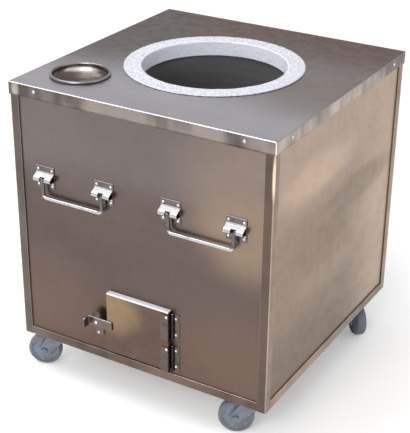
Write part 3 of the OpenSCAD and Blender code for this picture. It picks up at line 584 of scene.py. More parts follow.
def clay(name, colour, soot, top):
    """Fired clay: two tones in lumps, and soot that thickens towards the mouth."""
    r = Recipe(name)
    lumps, fine = r.noise(24, 5.0, 0.6), r.noise(220, 3.0, 0.6)
    tone = r.mix(r.ramp(lumps, 0.3, 0.7), shade(colour, 0.65), tuple(colour[:3]))
    level = r.math("ADD", r.axis("Z"), r.math("MULTIPLY", lumps, 0.12))
    black = r.ramp(level, top - 0.32, top + 0.02, 0.35, 0.95)
    tone = r.mix(black, tone, soot)
    r.bump(r.math("ADD", lumps, r.math("MULTIPLY", fine, 0.3)), 0.6, 1.5)
    return r.set(Base_Color=tone, Roughness=r.ramp(fine, 0.3, 0.7, 0.8, 0.97))


def rough_stuff(name, colour, second, scale, depth, rough=0.9, metallic=0.0):
    """Cast iron, firebrick, wool and the like: two tones in lumps and fine grain."""
    r = Recipe(name)
    lumps, fine = r.noise(scale, 5.0, 0.62), r.noise(scale * 9, 3.0, 0.6)
    tone = r.mix(r.ramp(lumps, 0.35, 0.68), tuple(colour[:3]), second)
    tone = r.mix(r.ramp(fine, 0.45, 0.7, 0.0, 0.4), tone, shade(colour, 0.6))
    r.bump(r.math("ADD", lumps, r.math("MULTIPLY", fine, 0.4)), 0.6, depth)
    roughness = r.ramp(fine, 0.3, 0.7, rough - 0.12, min(rough + 0.08, 1))
    return r.set(Base_Color=tone, Roughness=roughness, Metallic=metallic)


def moulded(name, colour, rough, scuff):
    """Moulded plastic or rubber: fine stipple, dull scuffs and floor dirt."""
    r = Recipe(name)
    scuffs, fine = r.noise(45, 5.0, 0.65), r.noise(900, 2.0, 0.5)
    tone = r.mix(r.ramp(scuffs, 0.45, 0.72, 0.0, scuff), tuple(colour[:3]), shade(colour, 1.7))
    dirt = r.ramp(r.math("ADD", r.axis("Z"), r.math("MULTIPLY", scuffs, 0.03)), 0.045, 0.012, 0.0, 0.5)
    tone = r.mix(dirt, tone, (0.12, 0.105, 0.09))
    r.bump(fine, 0.2, 0.05)
    return r.set(Base_Color=tone, Roughness=r.ramp(scuffs, 0.35, 0.75, rough - 0.08, rough + 0.2))


# ---------- sizes and colours that a user would change ----------


def length(name, description, default, low, high):
    """A length in metres that a user can change."""
    limits = {"default": default, "min": low, "max": high}
    return bpy.props.FloatProperty(name=name, description=description, unit="LENGTH", **limits)


def colour(name, description, default):
    """A colour that a user can change."""
    limits = {"default": default, "min": 0, "max": 1, "size": 3}
    return bpy.props.FloatVectorProperty(name=name, description=description, subtype="COLOR", **limits)


class TandoorSizes(bpy.types.PropertyGroup):
    """Small sizes that dress the frame without changing it."""

    sheet_buckle: length("Sheet buckle", "Deepest hollow in the thin panels", 0.0005, 0, 0.001)
    door_dent: length("Door dent", "Deepest hollow in the door's face", 0.0005, 0, 0.001)
    ring_grain: length("Ring grain", "Height of the grain on the ceramic ring", 0.0011, 0, 0.002)
    clay_ripple: length("Clay ripple", "Height of the marks inside the pot", 0.0016, 0, 0.004)
    edge: length("Edge", "Rounding of cut steel edges", 0.0003, 0.0001, 0.0006)
    rod_elbow: length("Rod elbow", "Bend radius where a handle enters its saddles", 0.0046, 0.0042, 0.006)


class TandoorColours(bpy.types.PropertyGroup):
    """Base colours of the finishes."""

    # The steels are one steel; their base colours hold painted reflections, paler or darker by how each face
    # catches light, and the saddles, rods and rivets are pale for painted highlights
    front_steel: colour("Front steel", "Front and rear panels", (0.122, 0.093, 0.083))
    side_steel: colour("Side steel", "Side panels", (0.282, 0.206, 0.151))
    top_steel: colour("Top steel", "Top sheet", (0.41, 0.396, 0.428))
    frame_steel: colour("Frame steel", "Posts and rails", (0.138, 0.100, 0.080))
    bracket_steel: colour("Bracket steel", "Bracket plates and latch bar", (0.150, 0.129, 0.124))
    hinge_steel: colour("Hinge steel", "Hinge leaves and latch strap", (0.132, 0.100, 0.088))
    saddle_steel: colour("Saddle steel", "Saddles round the handle rods", (0.45, 0.445, 0.45))
    rod_steel: colour("Rod steel", "Handle rods", (0.50, 0.49, 0.50))
    rivet_steel: colour("Rivet steel", "Rivets, pins and screws", (0.66, 0.66, 0.68))
    door_steel: colour("Door steel", "The door's tray", (0.131, 0.088, 0.071))
    # A painted warm reflection on the door
    door_warm_reflection: colour("Door heat tint", "Straw tint on the door", (0.278, 0.195, 0.118))
    ring: colour("Ring", "Ceramic ring at the mouth", (0.66, 0.67, 0.735))
    pot: colour("Clay", "Fired clay of the pot", (0.30, 0.19, 0.13))
    castor_zinc: colour("Castor zinc", "Castor forks and plates", (0.205, 0.225, 0.275))
    castor_hub: colour("Castor hub", "Wheel centres", (0.205, 0.225, 0.285))
    castor_tyre: colour("Castor tyre", "Wheel treads", (0.152, 0.163, 0.200))


def sizes():
    """The sizes in millimetres, by name."""
    group = bpy.context.scene.tandoor_sizes
    return {key: getattr(group, key) * 1000 for key in TandoorSizes.__annotations__}


def colours():
    """The finishes' base colours."""
    return bpy.context.scene.tandoor_colours


def shiny_fastener():
    """The finish that rivets, pins and screws share."""
    found = bpy.data.materials.get("shiny_fastener")
    return found or bright_steel("shiny_fastener", colours().rivet_steel, 0.24)


def packed_wool():
    """The finish of the packing in the cabinet and in the door."""
    found = bpy.data.materials.get("packed_wool")
    return found or rough_stuff("packed_wool", (0.50, 0.46, 0.38), (0.38, 0.345, 0.28), 70, 3.0)


# ---------- fasteners ----------


def with_shank(head, thick, shank):
    """A fastener's profile (radius, height): its head, down to the sheet, in, and along its shank."""
    return np.concatenate([head, [[head[-1, 0], 0], [thick, 0], [thick, -shank], [0, -shank]]])


def rivet(shank, radius=3.2, height=2.0):
    """A rivet along w: a flattened dome above the sheet, and its shank below."""
    turn = np.radians(np.linspace(0, 90, 9))
    dome = np.stack([radius * np.sin(turn), height * (0.12 + 0.88 * np.cos(turn))], -1)
    return lathe(with_shank(dome, 2.0, shank), 20, closed=False)


def pan_screw(shank, radius=3.75, height=2.0):
    """A screw along w: a pan head with a crossed slot that sinks where either arm runs."""
    ring = np.array([0, 0.25, 0.5, 0.8, 1.1, 1.5, 1.9, 2.3, 2.8, 3.2, 3.5, radius])
    top = height * np.sqrt(np.clip(1 - (ring / radius) ** 4, 0, 1)) * 0.85 + height * 0.15
    profile = with_shank(np.stack([ring, top], -1), 2.0, shank)

    def cross(angle, r, z):
        arm = np.minimum(np.abs(r * np.sin(angle)), np.abs(r * np.cos(angle)))
        sink = np.clip((0.55 - arm) / 0.25, 0, 1) * np.clip((2.2 - r) / 0.5, 0, 1)
        return r, z - np.where(z > 0.3, sink * 1.1, 0)

    return lathe(profile, 48, closed=False, shift=cross)


def hex_head(flat, height, washer=0.0, end=0.0):
    """A hexagon head along w, chamfered: its radius follows the six flats, and its top edge falls away
    by half of how far the radius passes the flats. washer is its collar's height, end its thread's."""
    thread = min(flat * 0.5, 2.6)
    profile = [[0, height + end], [thread, height + end], [thread, height]] if end else [[0, height]]
    profile += [[flat * 0.94, height], [flat * 1.01, height], [flat * 1.0101, washer]]
    profile += [[flat * 1.3, washer], [flat * 1.3, 0], [0, 0]] if washer else [[0, washer]]

    def six(angle, r, z):
        out = flat / np.cos((angle + np.pi / 6) % (np.pi / 3) - np.pi / 6)
        rim = (r > flat) & (r < flat * 1.2)
        return np.where(rim, out, r), np.where(rim & (z > height * 0.9), z - (out - flat * 0.94) * 0.5, z)

    return lathe(np.array(profile, float), 48, closed=False, shift=six)


def on_front(form, spots):
    """The form laid on the oven's front at each of the spots."""
    return [placed(form, np.array(spot), *FRONT) for spot in spots]


def fasten(name, forms, node, body="cabinet"):
    """Makes rivets, pins or screws one piece with the finish that they share."""
    put(name, joined(forms), shiny_fastener(), node, "fastener_steel", body, weld=True)


# ---------- operators ----------


class TANDOOR_OT_stage(bpy.types.Operator):
    """Makes the pale floor, the soft light and the camera at the photograph's angle"""

    bl_idname = "tandoor.stage"
    bl_label = "Stage"

    def execute(self, context):
        scene = context.scene
        scene.view_settings.view_transform = "Standard"
        self.world(scene)
        self.floor()
        self.lamp("key", (-1.35, -0.85, 3.3), (-0.3, -0.3, 0.6), (2.5, 3.0), 64)
        self.lamp("front_fill", (0.4, -3.4, 2.4), (0, 0, 0.65), (1.8, 1.8), 62)
        self.lamp("side_fill", (3.2, 0.2, 1.7), (0, 0, 0.45), (1.5, 1.5), 12)
        self.camera(scene)
        return {"FINISHED"}

    def world(self, scene):
        """White to the camera. Gloss sees a white room, greyer behind the oven, the rest a plain light."""
        scene.world = bpy.data.worlds.new("studio")
        r = Recipe(scene.world, "Background")
        room = r.ramp(r.axis("Y", r.coords["Generated"]), 0.1, 0.9, 1.0, 0.78)
        light = r.blend(r.rays("Is Glossy Ray", "Is Transmission Ray"), 0.62, room)
        r.set(Color=(1.0, 1.0, 1.0), Strength=r.blend(r.rays("Is Camera Ray"), light, 1.0))

    def floor(self):
        """A pale disc. To the camera and to gloss it glows, more so past the lamps' reach, where it fades
        into the white world."""
        mesh = bpy.data.meshes.new("floor")
        rim = arc_points((0, 0), 12.0, 0, 360, 65)[:-1]
        mesh.from_pydata([(x, y, 0.0) for x, y in rim.tolist()], [], [list(range(64))])
        floor = bpy.data.objects.new("floor", mesh)
        bpy.context.scene.collection.objects.link(floor)
        r = Recipe("studio_floor")
        seen = r.rays("Is Camera Ray", "Is Glossy Ray", "Is Transmission Ray")
        glow = r.math("MULTIPLY", seen, r.ramp(r.distance((0, 0, 0)), 1.5, 6.0, 0.26, 0.44))
        r.set(Base_Color=(0.9, 0.9, 0.9), Roughness=0.95, Specular_IOR_Level=0.0)
        mesh.materials.append(r.set(Emission_Color=(1.0, 1.0, 1.0), Emission_Strength=glow))

    def lamp(self, name, place, target, size, power):
        """A rectangular lamp of so many watts that faces its target."""
        light = bpy.data.lights.new(name, "AREA")
        light.shape, light.size, light.size_y, light.energy = "RECTANGLE", size[0], size[1], power
        lamp = bpy.data.objects.new(name, light)
        bpy.context.scene.collection.objects.link(lamp)
        lamp.location = place
        lamp.rotation_euler = (Vector(target) - Vector(place)).to_track_quat("-Z", "Y").to_euler()

    def camera(self, scene):
        """The photograph's camera: its bearing, height and roll in degrees, its place and focal length."""
        bearing, height, roll = (math.radians(v) for v in (30.307, 26.214, 0.646))
        place, lens = (1.1663, -2.0284, 1.4833), 97.24
        level = Vector((math.sin(bearing), -math.cos(bearing), 0)) * math.cos(height)
        back = level + Vector((0, 0, math.sin(height)))
        right = Vector((0, 0, 1)).cross(back).normalized()
        up = back.cross(right)
        turned_right = math.cos(roll) * right + math.sin(roll) * up
        turned_up = -math.sin(roll) * right + math.cos(roll) * up
        data = bpy.data.cameras.new("camera")
        data.lens, data.sensor_width, data.clip_start, data.clip_end = lens, 36.0, 0.05, 60
        camera = bpy.data.objects.new("camera", data)
        scene.collection.objects.link(camera)
        turn = Matrix((turned_right, turned_up, back)).transposed().to_4x4()
        camera.matrix_world = Matrix.Translation(place) @ turn
        scene.camera = camera


def air_way():
    """The lowest and highest corners of the way through the sleeve behind the door, inside its walls."""
    low, high = box_mm("draught_duct")
    return low + 1.5, high - 1.5


class TANDOOR_OT_sheets(bpy.types.Operator):
    """Makes the top sheet and the four panels, with the slight buckles of thin steel"""

    bl_idname = "tandoor.sheets"
    bl_label = "Top sheet and panels"

    def execute(self, context):
        paint, depth = colours(), sizes()["sheet_buckle"]
        reach, _, level = box_mm("top_sheet")[1] / 1000
        skirt = ("Z", level - 0.0014, level - 0.0021)
        # Painted reflections, shade and highlights: from front to back, two patches, a painted highlight on
        # the fold, the skirt in painted shade, its paler right side, painted highlights on its corners, and a
        # painted highlight spot
        top_painted_light = [
            ("Y", -0.22, 0.02, (0.19, 0.165, 0.163)),
            ("Y", 0.02, 0.28, (0.118, 0.060, 0.043)),
            ((-0.34, 0.12, level), 0.36, (0.088, 0.067, 0.063), 0.75),
            ((0.30, -0.02, level), 0.24, (0.252, 0.198, 0.184), 0.7),
            ("Z", level - 0.00045, level - 0.0007, (0.80, 0.79, 0.79)),
            (*skirt, (0.185, 0.157, 0.147)),
            ("X", reach - 0.0010, reach - 0.0004, (0.31, 0.255, 0.232)),
            ("corner", reach - 0.0024, reach - 0.0010, (0.66, 0.58, 0.52)),
            ((-0.287, -0.305, 0.672, 1, 1, 0.5), 0.012, (0.82, 0.72, 0.60), 0.9),
        ]
        top = steel(
            "top_sheet_finish", paint.top_steel, 0.3, (0.02, 1, 1), 3.2, 0.86, 0.14, top_painted_light, 0.0,
            # The skirt gets patches of painted reflection
            patchy_sheen=(*skirt, 13.0, 0.55),
        )
        # Painted reflections: the upper and the lower part, then patches
        front_painted_light = [
            ("Z", 0.44, 0.60, (0.160, 0.138, 0.133)),
            ("Z", 0.30, 0.20, (0.142, 0.090, 0.070)),
            ((0.26, -0.3, 0.54), 0.225, (0.25, 0.190, 0.152), 0.8),
            ((0.235, -0.3, 0.465), 0.12, (0.32, 0.235, 0.155), 0.45),
            ((0.22, -0.3, 0.18), 0.20, (0.166, 0.111, 0.088), 0.75),
            ((-0.23, -0.3, 0.21), 0.15, (0.175, 0.128, 0.106), 0.45),
        ]
        front = steel(
            "front_finish", paint.front_steel, 0.33, (1, 1, 0.02), 3.5, 0.88, 0.12, front_painted_light, 0.16,
            drawn=(0.5, 1, 1),
        )
        # Painted reflections: the upper, the lower and the rear part, then patches
        side_painted_light = [
            ("Z", 0.42, 0.62, (0.385, 0.288, 0.222)),
            ("Z", 0.30, 0.14, (0.220, 0.163, 0.121)),
            ("Y", 0.02, 0.27, (0.43, 0.322, 0.242)),
            ((0.3, -0.11, 0.545, 0, 0.45, 1.7), 0.10, (0.53, 0.388, 0.282), 0.75),
            ((0.3, 0.10, 0.44, 0, 0.5, 2.2), 0.10, (0.23, 0.165, 0.121), 0.7),
            ((0.3, -0.06, 0.385, 0, 0.5, 1.6), 0.12, (0.215, 0.153, 0.110), 0.6),
            ((0.3, -0.05, 0.30, 0, 0.4, 2.4), 0.09, (0.33, 0.243, 0.18), 0.5),
        ]
        side = steel(
            "side_finish", paint.side_steel, 0.33, (1, 0.02, 1), 6.0, 0.94, 0.12, side_painted_light, 0.12,
            drawn=(1, 0.3, 1.2),
        )
        self.top_sheet(top, depth)
        self.front(front, depth)
        self.plain("rear_panel", front, depth, 3.1)
        self.plain("left_panel", side, depth, 5.2)
        self.plain("right_panel", side, depth, 1.4)
        self.screws(reach * 1000)
        return {"FINISHED"}

    def screws(self, face):
        """Two screws in each side of the skirt, face millimetres from the middle, each turned otherwise."""
        low, high = box_mm("skirt_screws")
        screw, from_middle = pan_screw(5.5), 240
        screws = []
        for turn, out in enumerate((-Y, X, Y, -X)):
            along = np.cross(Z, out)
            for sign in (-1, 1):
                spin = math.radians(20 + 37 * (turn * 2 + sign))
                u = along * math.cos(spin) + Z * math.sin(spin)
                place = out * face + along * from_middle * sign + Z * (low[2] + high[2]) / 2
                screws.append(placed(screw, place, u, np.cross(out, u), out))
        put("skirt_screws_slotted", joined(screws), shiny_fastener(), "skirt_screws", None, weld=True)

    def top_sheet(self, material, depth):
        """Rings follow the skirt and its rounded fold, then blend from the square into the mouth's circle.
        Points inside the bowl's hole move out to its edge. The buckle calms towards every edge."""
        low, high = box_mm("top_sheet")
        half, top, fold = high[0], high[2], 2.25
        mouth, hole, bowl = 180.3, 59.0, np.array([-203.0, -197.0])
        profile = fold_profile(low[2], top, fold, (5.0, 9.0))
        rings = [ring_of(half - i, half - i, max(fold - i, 0.4), 100, 6) for i, _ in profile]
        bound = rings[-1]
        circle = mouth * bound / np.linalg.norm(bound, axis=1, keepdims=True)
        shares = np.linspace(0, 1, 62)[1:]
        flat = np.array(rings + [bound * (1 - share) + circle * share for share in shares])
        gap = flat - bowl
        far = np.linalg.norm(gap, axis=-1)
        inside = far < hole
        flat = np.where(inside[..., None], bowl + gap / np.maximum(far, 1e-6)[..., None] * hole, flat)
        edge = (half - np.abs(flat).max(-1)) / 40
        calm = np.minimum.reduce([edge, (np.linalg.norm(flat, axis=-1) - 180) / 25, (far - hole) / 20])
        dip = 0.8 * depth * buckle(flat[..., 0], flat[..., 1], 0.7) * np.clip(calm, 0, 1)
        height = np.array([z for _, z in profile] + [top] * len(shares))[:, None] - dip
        faces = quads(*height.shape, wrap_cols=True)
        faces = faces[~inside.reshape(-1)[faces].all(1)]
        form = (np.concatenate([flat, height[..., None]], -1).reshape(-1, 3), [faces])
        put("top_sheet_pressed", form, material, "top_sheet", "top_steel", sheet=1.5, offset=-1.0)

    def front(self, material, depth):
        """A sheet in x and z, pushed in by the buckle, without the faces in the door's opening. Towards its
        edges and round the door it stays flat."""
        low, high = box_mm("front_panel")
        way_low, way_high = air_way()
        xs, zs = (np.unique([*np.linspace(low[k], high[k], 90), way_low[k], way_high[k]]) for k in (0, 2))
        x, z = np.meshgrid(xs, zs)
        mid_x, mid_z = (xs[1:] + xs[:-1]) / 2, (zs[1:] + zs[:-1]) / 2
        open_x = (mid_x > way_low[0]) & (mid_x < way_high[0])
        open_z = (mid_z > way_low[2]) & (mid_z < way_high[2])
        keep = ~(open_z[:, None] & open_x)
        rim = np.minimum.reduce([x - low[0], high[0] - x, z - low[2], high[2] - z]) / 50
        door_x, _, door_z = np.add(*box_mm("door_tray")) / 2
        past_door = np.maximum(np.abs(x - door_x), np.abs(z - door_z)) - 90
        y = low[1] + depth * buckle(x, z, 2.2) * np.clip(np.minimum(rim, past_door / 30), 0, 1)
        form = (np.stack([x, y, z], -1).reshape(-1, 3), [quads(len(zs), len(xs))[keep.reshape(-1)]])
        put("front_panel_sheet", form, material, "front_panel", "panel_steel", sheet=1.0, offset=-1.0)

    def plain(self, node, material, depth, seed):
        """A sheet on one side of the cabinet, pushed in by the buckle."""
        low, high = box_mm(node)
        thin = int(np.argmin(high - low))
        across = 1 - thin
        out = 1.0 if high[thin] > 0 else -1.0
        a, z = np.meshgrid(np.linspace(low[across], high[across], 90), np.linspace(low[2], high[2], 90))
        rim = np.minimum.reduce([a - low[across], high[across] - a, z - low[2], high[2] - z]) / 50
        face = (high if out > 0 else low)[thin] - out * depth * buckle(a, z, seed) * np.clip(rim, 0, 1)
        points = np.zeros(a.shape + (3,))
        points[..., thin], points[..., across], points[..., 2] = face, a, z
        faces = quads(*a.shape)
        if (thin == 0) == (out < 0):
            faces = faces[:, ::-1]
        form = (points.reshape(-1, 3), [faces])
        put(node + "_sheet", form, material, node, "panel_steel", sheet=1.0, offset=-1.0)


class TANDOOR_OT_frame(bpy.types.Operator):
    """Makes the angle posts and rails with their rolled corners, and finishes the base"""

    bl_idname = "tandoor.frame"
    bl_label = "Angle frame and base"

    def execute(self, context):
        own = colours().frame_steel
        low, high = box_mm("corner_posts")
        reach, level = high[0] / 1000, box_mm("base_rails")[1][2] / 1000
        # Painted reflection on the legs along the sides, as on the side panels
        side = (0.315, 0.233, 0.174)
        sides = [("X", sign * (reach - 0.0012), sign * (reach - 0.0005), side) for sign in (1, -1)]
        # Painted light: the left posts greyer, the legs along the sides in the side panels' painted
        # reflection, their inner edges lightened against their shade, a painted highlight on their outer
        # edges, and a painted highlight spot
        post_painted_light = [
            ("X", -0.20, -0.28, (0.142, 0.116, 0.107)),
            *sides,
            ("corner", 0.2832, 0.2828, (0.36, 0.315, 0.285)),
            ("corner", reach - 0.0030, reach - 0.0012, (0.42, 0.335, 0.265)),
            ((reach, -reach, 0.612, 1, 1, 0.1), 0.0062, (1.0, 0.84, 0.64), 0.95),
        ]
        # Painted light on the rails: the side legs as on the posts, and from the base rails' top edge up a
        # pale painted highlight
        lit = [*sides, ("Z", level - 0.0008, level - 0.0003, (0.48, 0.44, 0.42))]
        post = steel("post_finish", own, 0.3, (1, 1, 0.05), 9.0, 0.78, 0.16, post_painted_light, 0.0)
        rail = steel(
            "rail_finish", own, 0.3, (0.05, 0.05, 1), 9.0, 0.82, 0.16, lit, 0.0,
            # Patches of painted reflection over the rails
            patchy_sheen=("Z", -1.0, -0.5, 9.0, 0.3),
        )
        legs = [[0, 0], [-20, 0], [-20, -3], [-3, -3], [-3, -20], [0, -20]]
        angle = rounded(legs, [1.3, 0.4, 1.2, 2.6, 1.2, 0.4])
        upright = prism(angle, low[2], high[2], 0.4)
        posts = [placed(upright, high * [sx, sy, 0], X * sx, Y * sy, Z) for sx in (-1, 1) for sy in (-1, 1)]
        put("corner_posts_rolled", joined(posts), post, "corner_posts", "frame_steel")
        for node, up in (("base_rails", 1), ("top_rails", -1)):
            low, high = box_mm(node)
            level = low[2] if up > 0 else high[2]
            rails = []
            for along, out, half, edge in ((X, Y, 282.5, high[1]), (Y, X, 282.0, high[0])):
                beam = prism(angle, -half, half, 0.4)
                for sign in (-1, 1):
                    rails.append(placed(beam, out * sign * edge + Z * level, out * sign, -Z * up, along))
            put(node + "_rolled", joined(rails), rail, node, "frame_steel")
        base = steel("base_finish", shade(own, 0.8), 0.4, (0.05, 1, 1), 8.0, 0.6, 0.2)
        softened("base_plate", base, 0.5)
        softened("castor_pads", base, 0.5)
        return {"FINISHED"}


class TANDOOR_OT_mouth(bpy.types.Operator):
    """Makes the ceramic ring, the clay pot under it and what stands inside"""

    bl_idname = "tandoor.mouth"
    bl_label = "Ring, pot and grate"

    def execute(self, context):
        paint, size = colours(), sizes()
        self.ring(ceramic_ring("ring_finish", paint.ring), size["ring_grain"])
        self.pot(clay("pot_finish", paint.pot, (0.112, 0.112, 0.116), 0.655), size["clay_ripple"])
        iron = rough_stuff("grate_finish", (0.05, 0.045, 0.042), (0.11, 0.075, 0.055), 60, 0.8, 0.75, 0.6)
        brick = rough_stuff("brick_finish", (0.55, 0.40, 0.27), (0.42, 0.30, 0.2), 40, 1.2)
        sleeve = steel("duct_finish", (0.16, 0.12, 0.10), 0.45, (1, 0.05, 1), 12.0, 0.5, 0.25)
        softened("fire_grate", iron, 1.2)
        finish(frame["nodes"]["hearth_slab"].data, brick)
        finish(frame["nodes"]["insulation_fill"].data, packed_wool())
        softened("draught_duct", sleeve, 0.3)
        return {"FINISHED"}

    def ring(self, material, depth):
        """The ring's outline turned round the mouth; grain pushes each point in along its normal."""
        low, high = box_mm("mouth_ring")
        inner, outer, collar = 152.5, (high[0] - low[0]) / 2 + 0.1, 180.0
        seat, count = box_mm("top_sheet")[1][2], 640
        corners = [[inner, low[2]], [collar, low[2]], [collar, seat]]
        corners += [[outer, seat], [outer, high[2]], [inner, high[2]]]
        outline = spaced(rounded(corners, [1, 1, 0.8, 1, 3, 3.2], 6), 1.6, True)
        normal = normals2(outline, True)
        angle = np.linspace(0, 2 * np.pi, count, endpoint=False)

        def turned(r, z):
            """The points at radius r and height z: x = r cos(angle) and y = r sin(angle)."""
            return np.stack(np.broadcast_arrays(r * np.cos(angle), r * np.sin(angle), z), -1)

        r, z = outline[:, :1], outline[:, 1:]
        points = turned(r, z)
        rough = 0.42 * grain(points, 2.6, 1) + 0.33 * grain(points, 6.5, 2) + 0.35 * grain(points, 21, 3)
        push = depth * np.clip(0.5 + 0.55 * rough, 0, 1)
        grid = turned(r - normal[:, :1] * push, z - normal[:, 1:] * push)
        form = outward((grid.reshape(-1, 3), [quads(len(outline), count, True, True)]))
        put("mouth_ring_ceramic", form, material, "mouth_ring", "ring_ceramic", smooth=60)

    def pot(self, material, depth):
        """Two shells of a belly that narrows to the mouth, joined at the rim and round the air opening.
        In each ring the first columns span the opening evenly in x, and the rest share the circle."""
        low, high = box_mm("clay_pot")
        way_low, way_high = air_way()
        floor, arch, rim = way_low[2], way_high[2], box_mm("mouth_ring")[0][2]
        foot, neck, wall, lip = 180.0, 159.5, 28.0, 7.0
        belly, widest = high[0] - wall, 0.42
        rows_low, rows_high, across, round_cols = 14, 52, 16, 128
        cols = across + round_cols
        z = np.linspace(floor, arch, rows_low + 1)
        z = np.concatenate([z, np.linspace(arch, rim, rows_high + 1)[1:]])[:, None]
        share = (z - floor) / (rim - floor)
        swell = foot + (belly - foot) * np.sin(np.pi / 2 * np.clip(share / widest, 0, 1))
        close = np.cos(np.pi / 2 * np.clip((share - widest) / (1 - widest), 0, 1)) ** 1.25
        radius = np.where(share < widest, swell, neck + (belly - neck) * close)
        turn = np.linspace(0, 2 * np.pi, cols, endpoint=False)[None]
        sample = np.stack(np.broadcast_arrays(120 * np.cos(turn), 120 * np.sin(turn), z), -1)
        marks = 0.35 * np.sin(z / 3.6 + 2 * np.sin(turn))
        marks += 0.4 * grain(sample, 17, 5) + 0.35 * grain(sample, 48, 6)
        push = depth * np.clip(0.5 + marks, 0, 1.2) * np.clip((rim - z) / 6, 0, 1)

        def shell(r):
            """The points at radius r: x = r sin(way) and y = -r cos(way)."""
            r = np.broadcast_to(r, (len(z), cols))
            span = np.arcsin(np.linspace(way_low[0], way_high[0], across + 1) / r[:, : across + 1])
            first, last = span[:, -1:], span[:, :1] + 2 * np.pi
            rest = first + (last - first) * (np.arange(1, round_cols) / round_cols)
            way = np.concatenate([span, rest], 1)
            return np.stack([r * np.sin(way), -r * np.cos(way), np.broadcast_to(z, way.shape)], -1)

        inner, outer = shell(radius + push), shell(radius + wall)
        # The lip round the ring's collar: up outside, over its top, and down inside
        edge, top = neck + wall, high[2]
        crest = [(edge, top - 1), (edge - 0.8, top), (edge - lip + 0.8, top), (edge - lip, top - 1)]
        crest = np.array([*crest, (edge - lip, rim)])[:, None]
        around = outer[-1][None, :, :2] / edge
        level = np.broadcast_to(crest[..., 1:], (len(crest), cols, 1))
        lip_rings = np.concatenate([around * crest[..., :1], level], -1)
        foot_ring = outer[0] * [1, 1, 0] + Z * low[2]
        points = np.concatenate([part.reshape(-1, 3) for part in (inner, outer, foot_ring, lip_rings)])

        rows, step = len(z), np.arange(cols)
        base, top_row = rows * cols, (rows - 1) * cols
        shut = np.ones((rows - 1, cols), bool)
        shut[:rows_low, :across] = False
        skin = quads(rows, cols, wrap_cols=True)[shut.reshape(-1)]
        loop = np.concatenate(
            [
                np.arange(rows_low + 1) * cols,
                rows_low * cols + np.arange(1, across + 1),
                np.arange(rows_low - 1, -1, -1) * cols + across,
                np.arange(across - 1, 0, -1),
            ]
        )
        jamb = between(np.array([loop, loop + base]))
        lip_rows = 2 * base + cols * np.arange(1, len(crest) + 1)
        over = between(np.array([base + top_row, *lip_rows, top_row])[:, None] + step)
        under = between(np.array([[base], [2 * base]]) + step)
        floors = [step[None], 2 * base + step[None, ::-1]]
        form = (points, [skin, skin[:, ::-1] + base, jamb, over, under, *floors])
        piece = put("clay_pot_thrown", form, material, "clay_pot", "fired_clay", smooth=50)
        with editing(piece.data) as edit:
            bmesh.ops.recalc_face_normals(edit, faces=edit.faces)


class TANDOOR_OT_bowl(bpy.types.Operator):
    """Makes the spun bowl with its rolled rim"""

    bl_idname = "tandoor.bowl"
    bl_label = "Drop-in bowl"

    def execute(self, context):
        low, high = box_mm("drop_in_bowl")
        wall, bead, reach, depth = 1.2, 3.0, 34, 24.5
        floor, rim = low[2] + wall / 2, high[2] - bead
        side = (high[0] - low[0]) / 2 - 2 * bead + wall / 2
        turn = np.radians(np.linspace(0, 90, 40))
        dish = np.stack([side - reach + reach * np.sin(turn), floor + depth * (1 - np.cos(turn))], -1)
        curl = arc_points((side + bead - wall / 2, rim), bead - wall / 2, 180, -95, 16)
        outline = strip(spaced(np.concatenate([[[0, floor]], dish, curl]), 0.9), wall)
        outline[0, 0] = outline[-1, 0] = 0.0

        def spun(angle, r, z):
            """Rings from the spinning tool inside, and a rim a little out of true."""
            marks = np.where(r < side - 3, 0.12 * np.sin(r / 1.1), 0)
            return r, z + marks + 0.075 * np.sin(2 * angle + 1) * (r > side - 2)

        bowl = placed(lathe(outline, 128, closed=False, shift=spun), (low + high) / 2 * [1, 1, 0])
        base = floor / 1000
        # Painted light: darker above the floor as painted shade, a painted reflection as a bright arc on the
        # far side, and the bead paler against its shade
        painted_light_tones = [
            ("Z", base + 0.0010, base + 0.0040, (0.130, 0.100, 0.093)),
            ((-0.230, -0.150, base + 0.0190, 1, 1, 5.0), 0.046, (0.70, 0.68, 0.68), 1.0),
            ("Z", base + 0.0245, base + 0.0265, (0.26, 0.25, 0.25)),
        ]
        metal = steel("bowl_finish", (0.152, 0.115, 0.102), 0.24, (1, 1, 1), 14.0, 0.8, 0.2, painted_light_tones, 0.0)
        put("bowl_spun", bowl, metal, "drop_in_bowl", "bowl_steel", "bowl", weld=True)
        return {"FINISHED"}


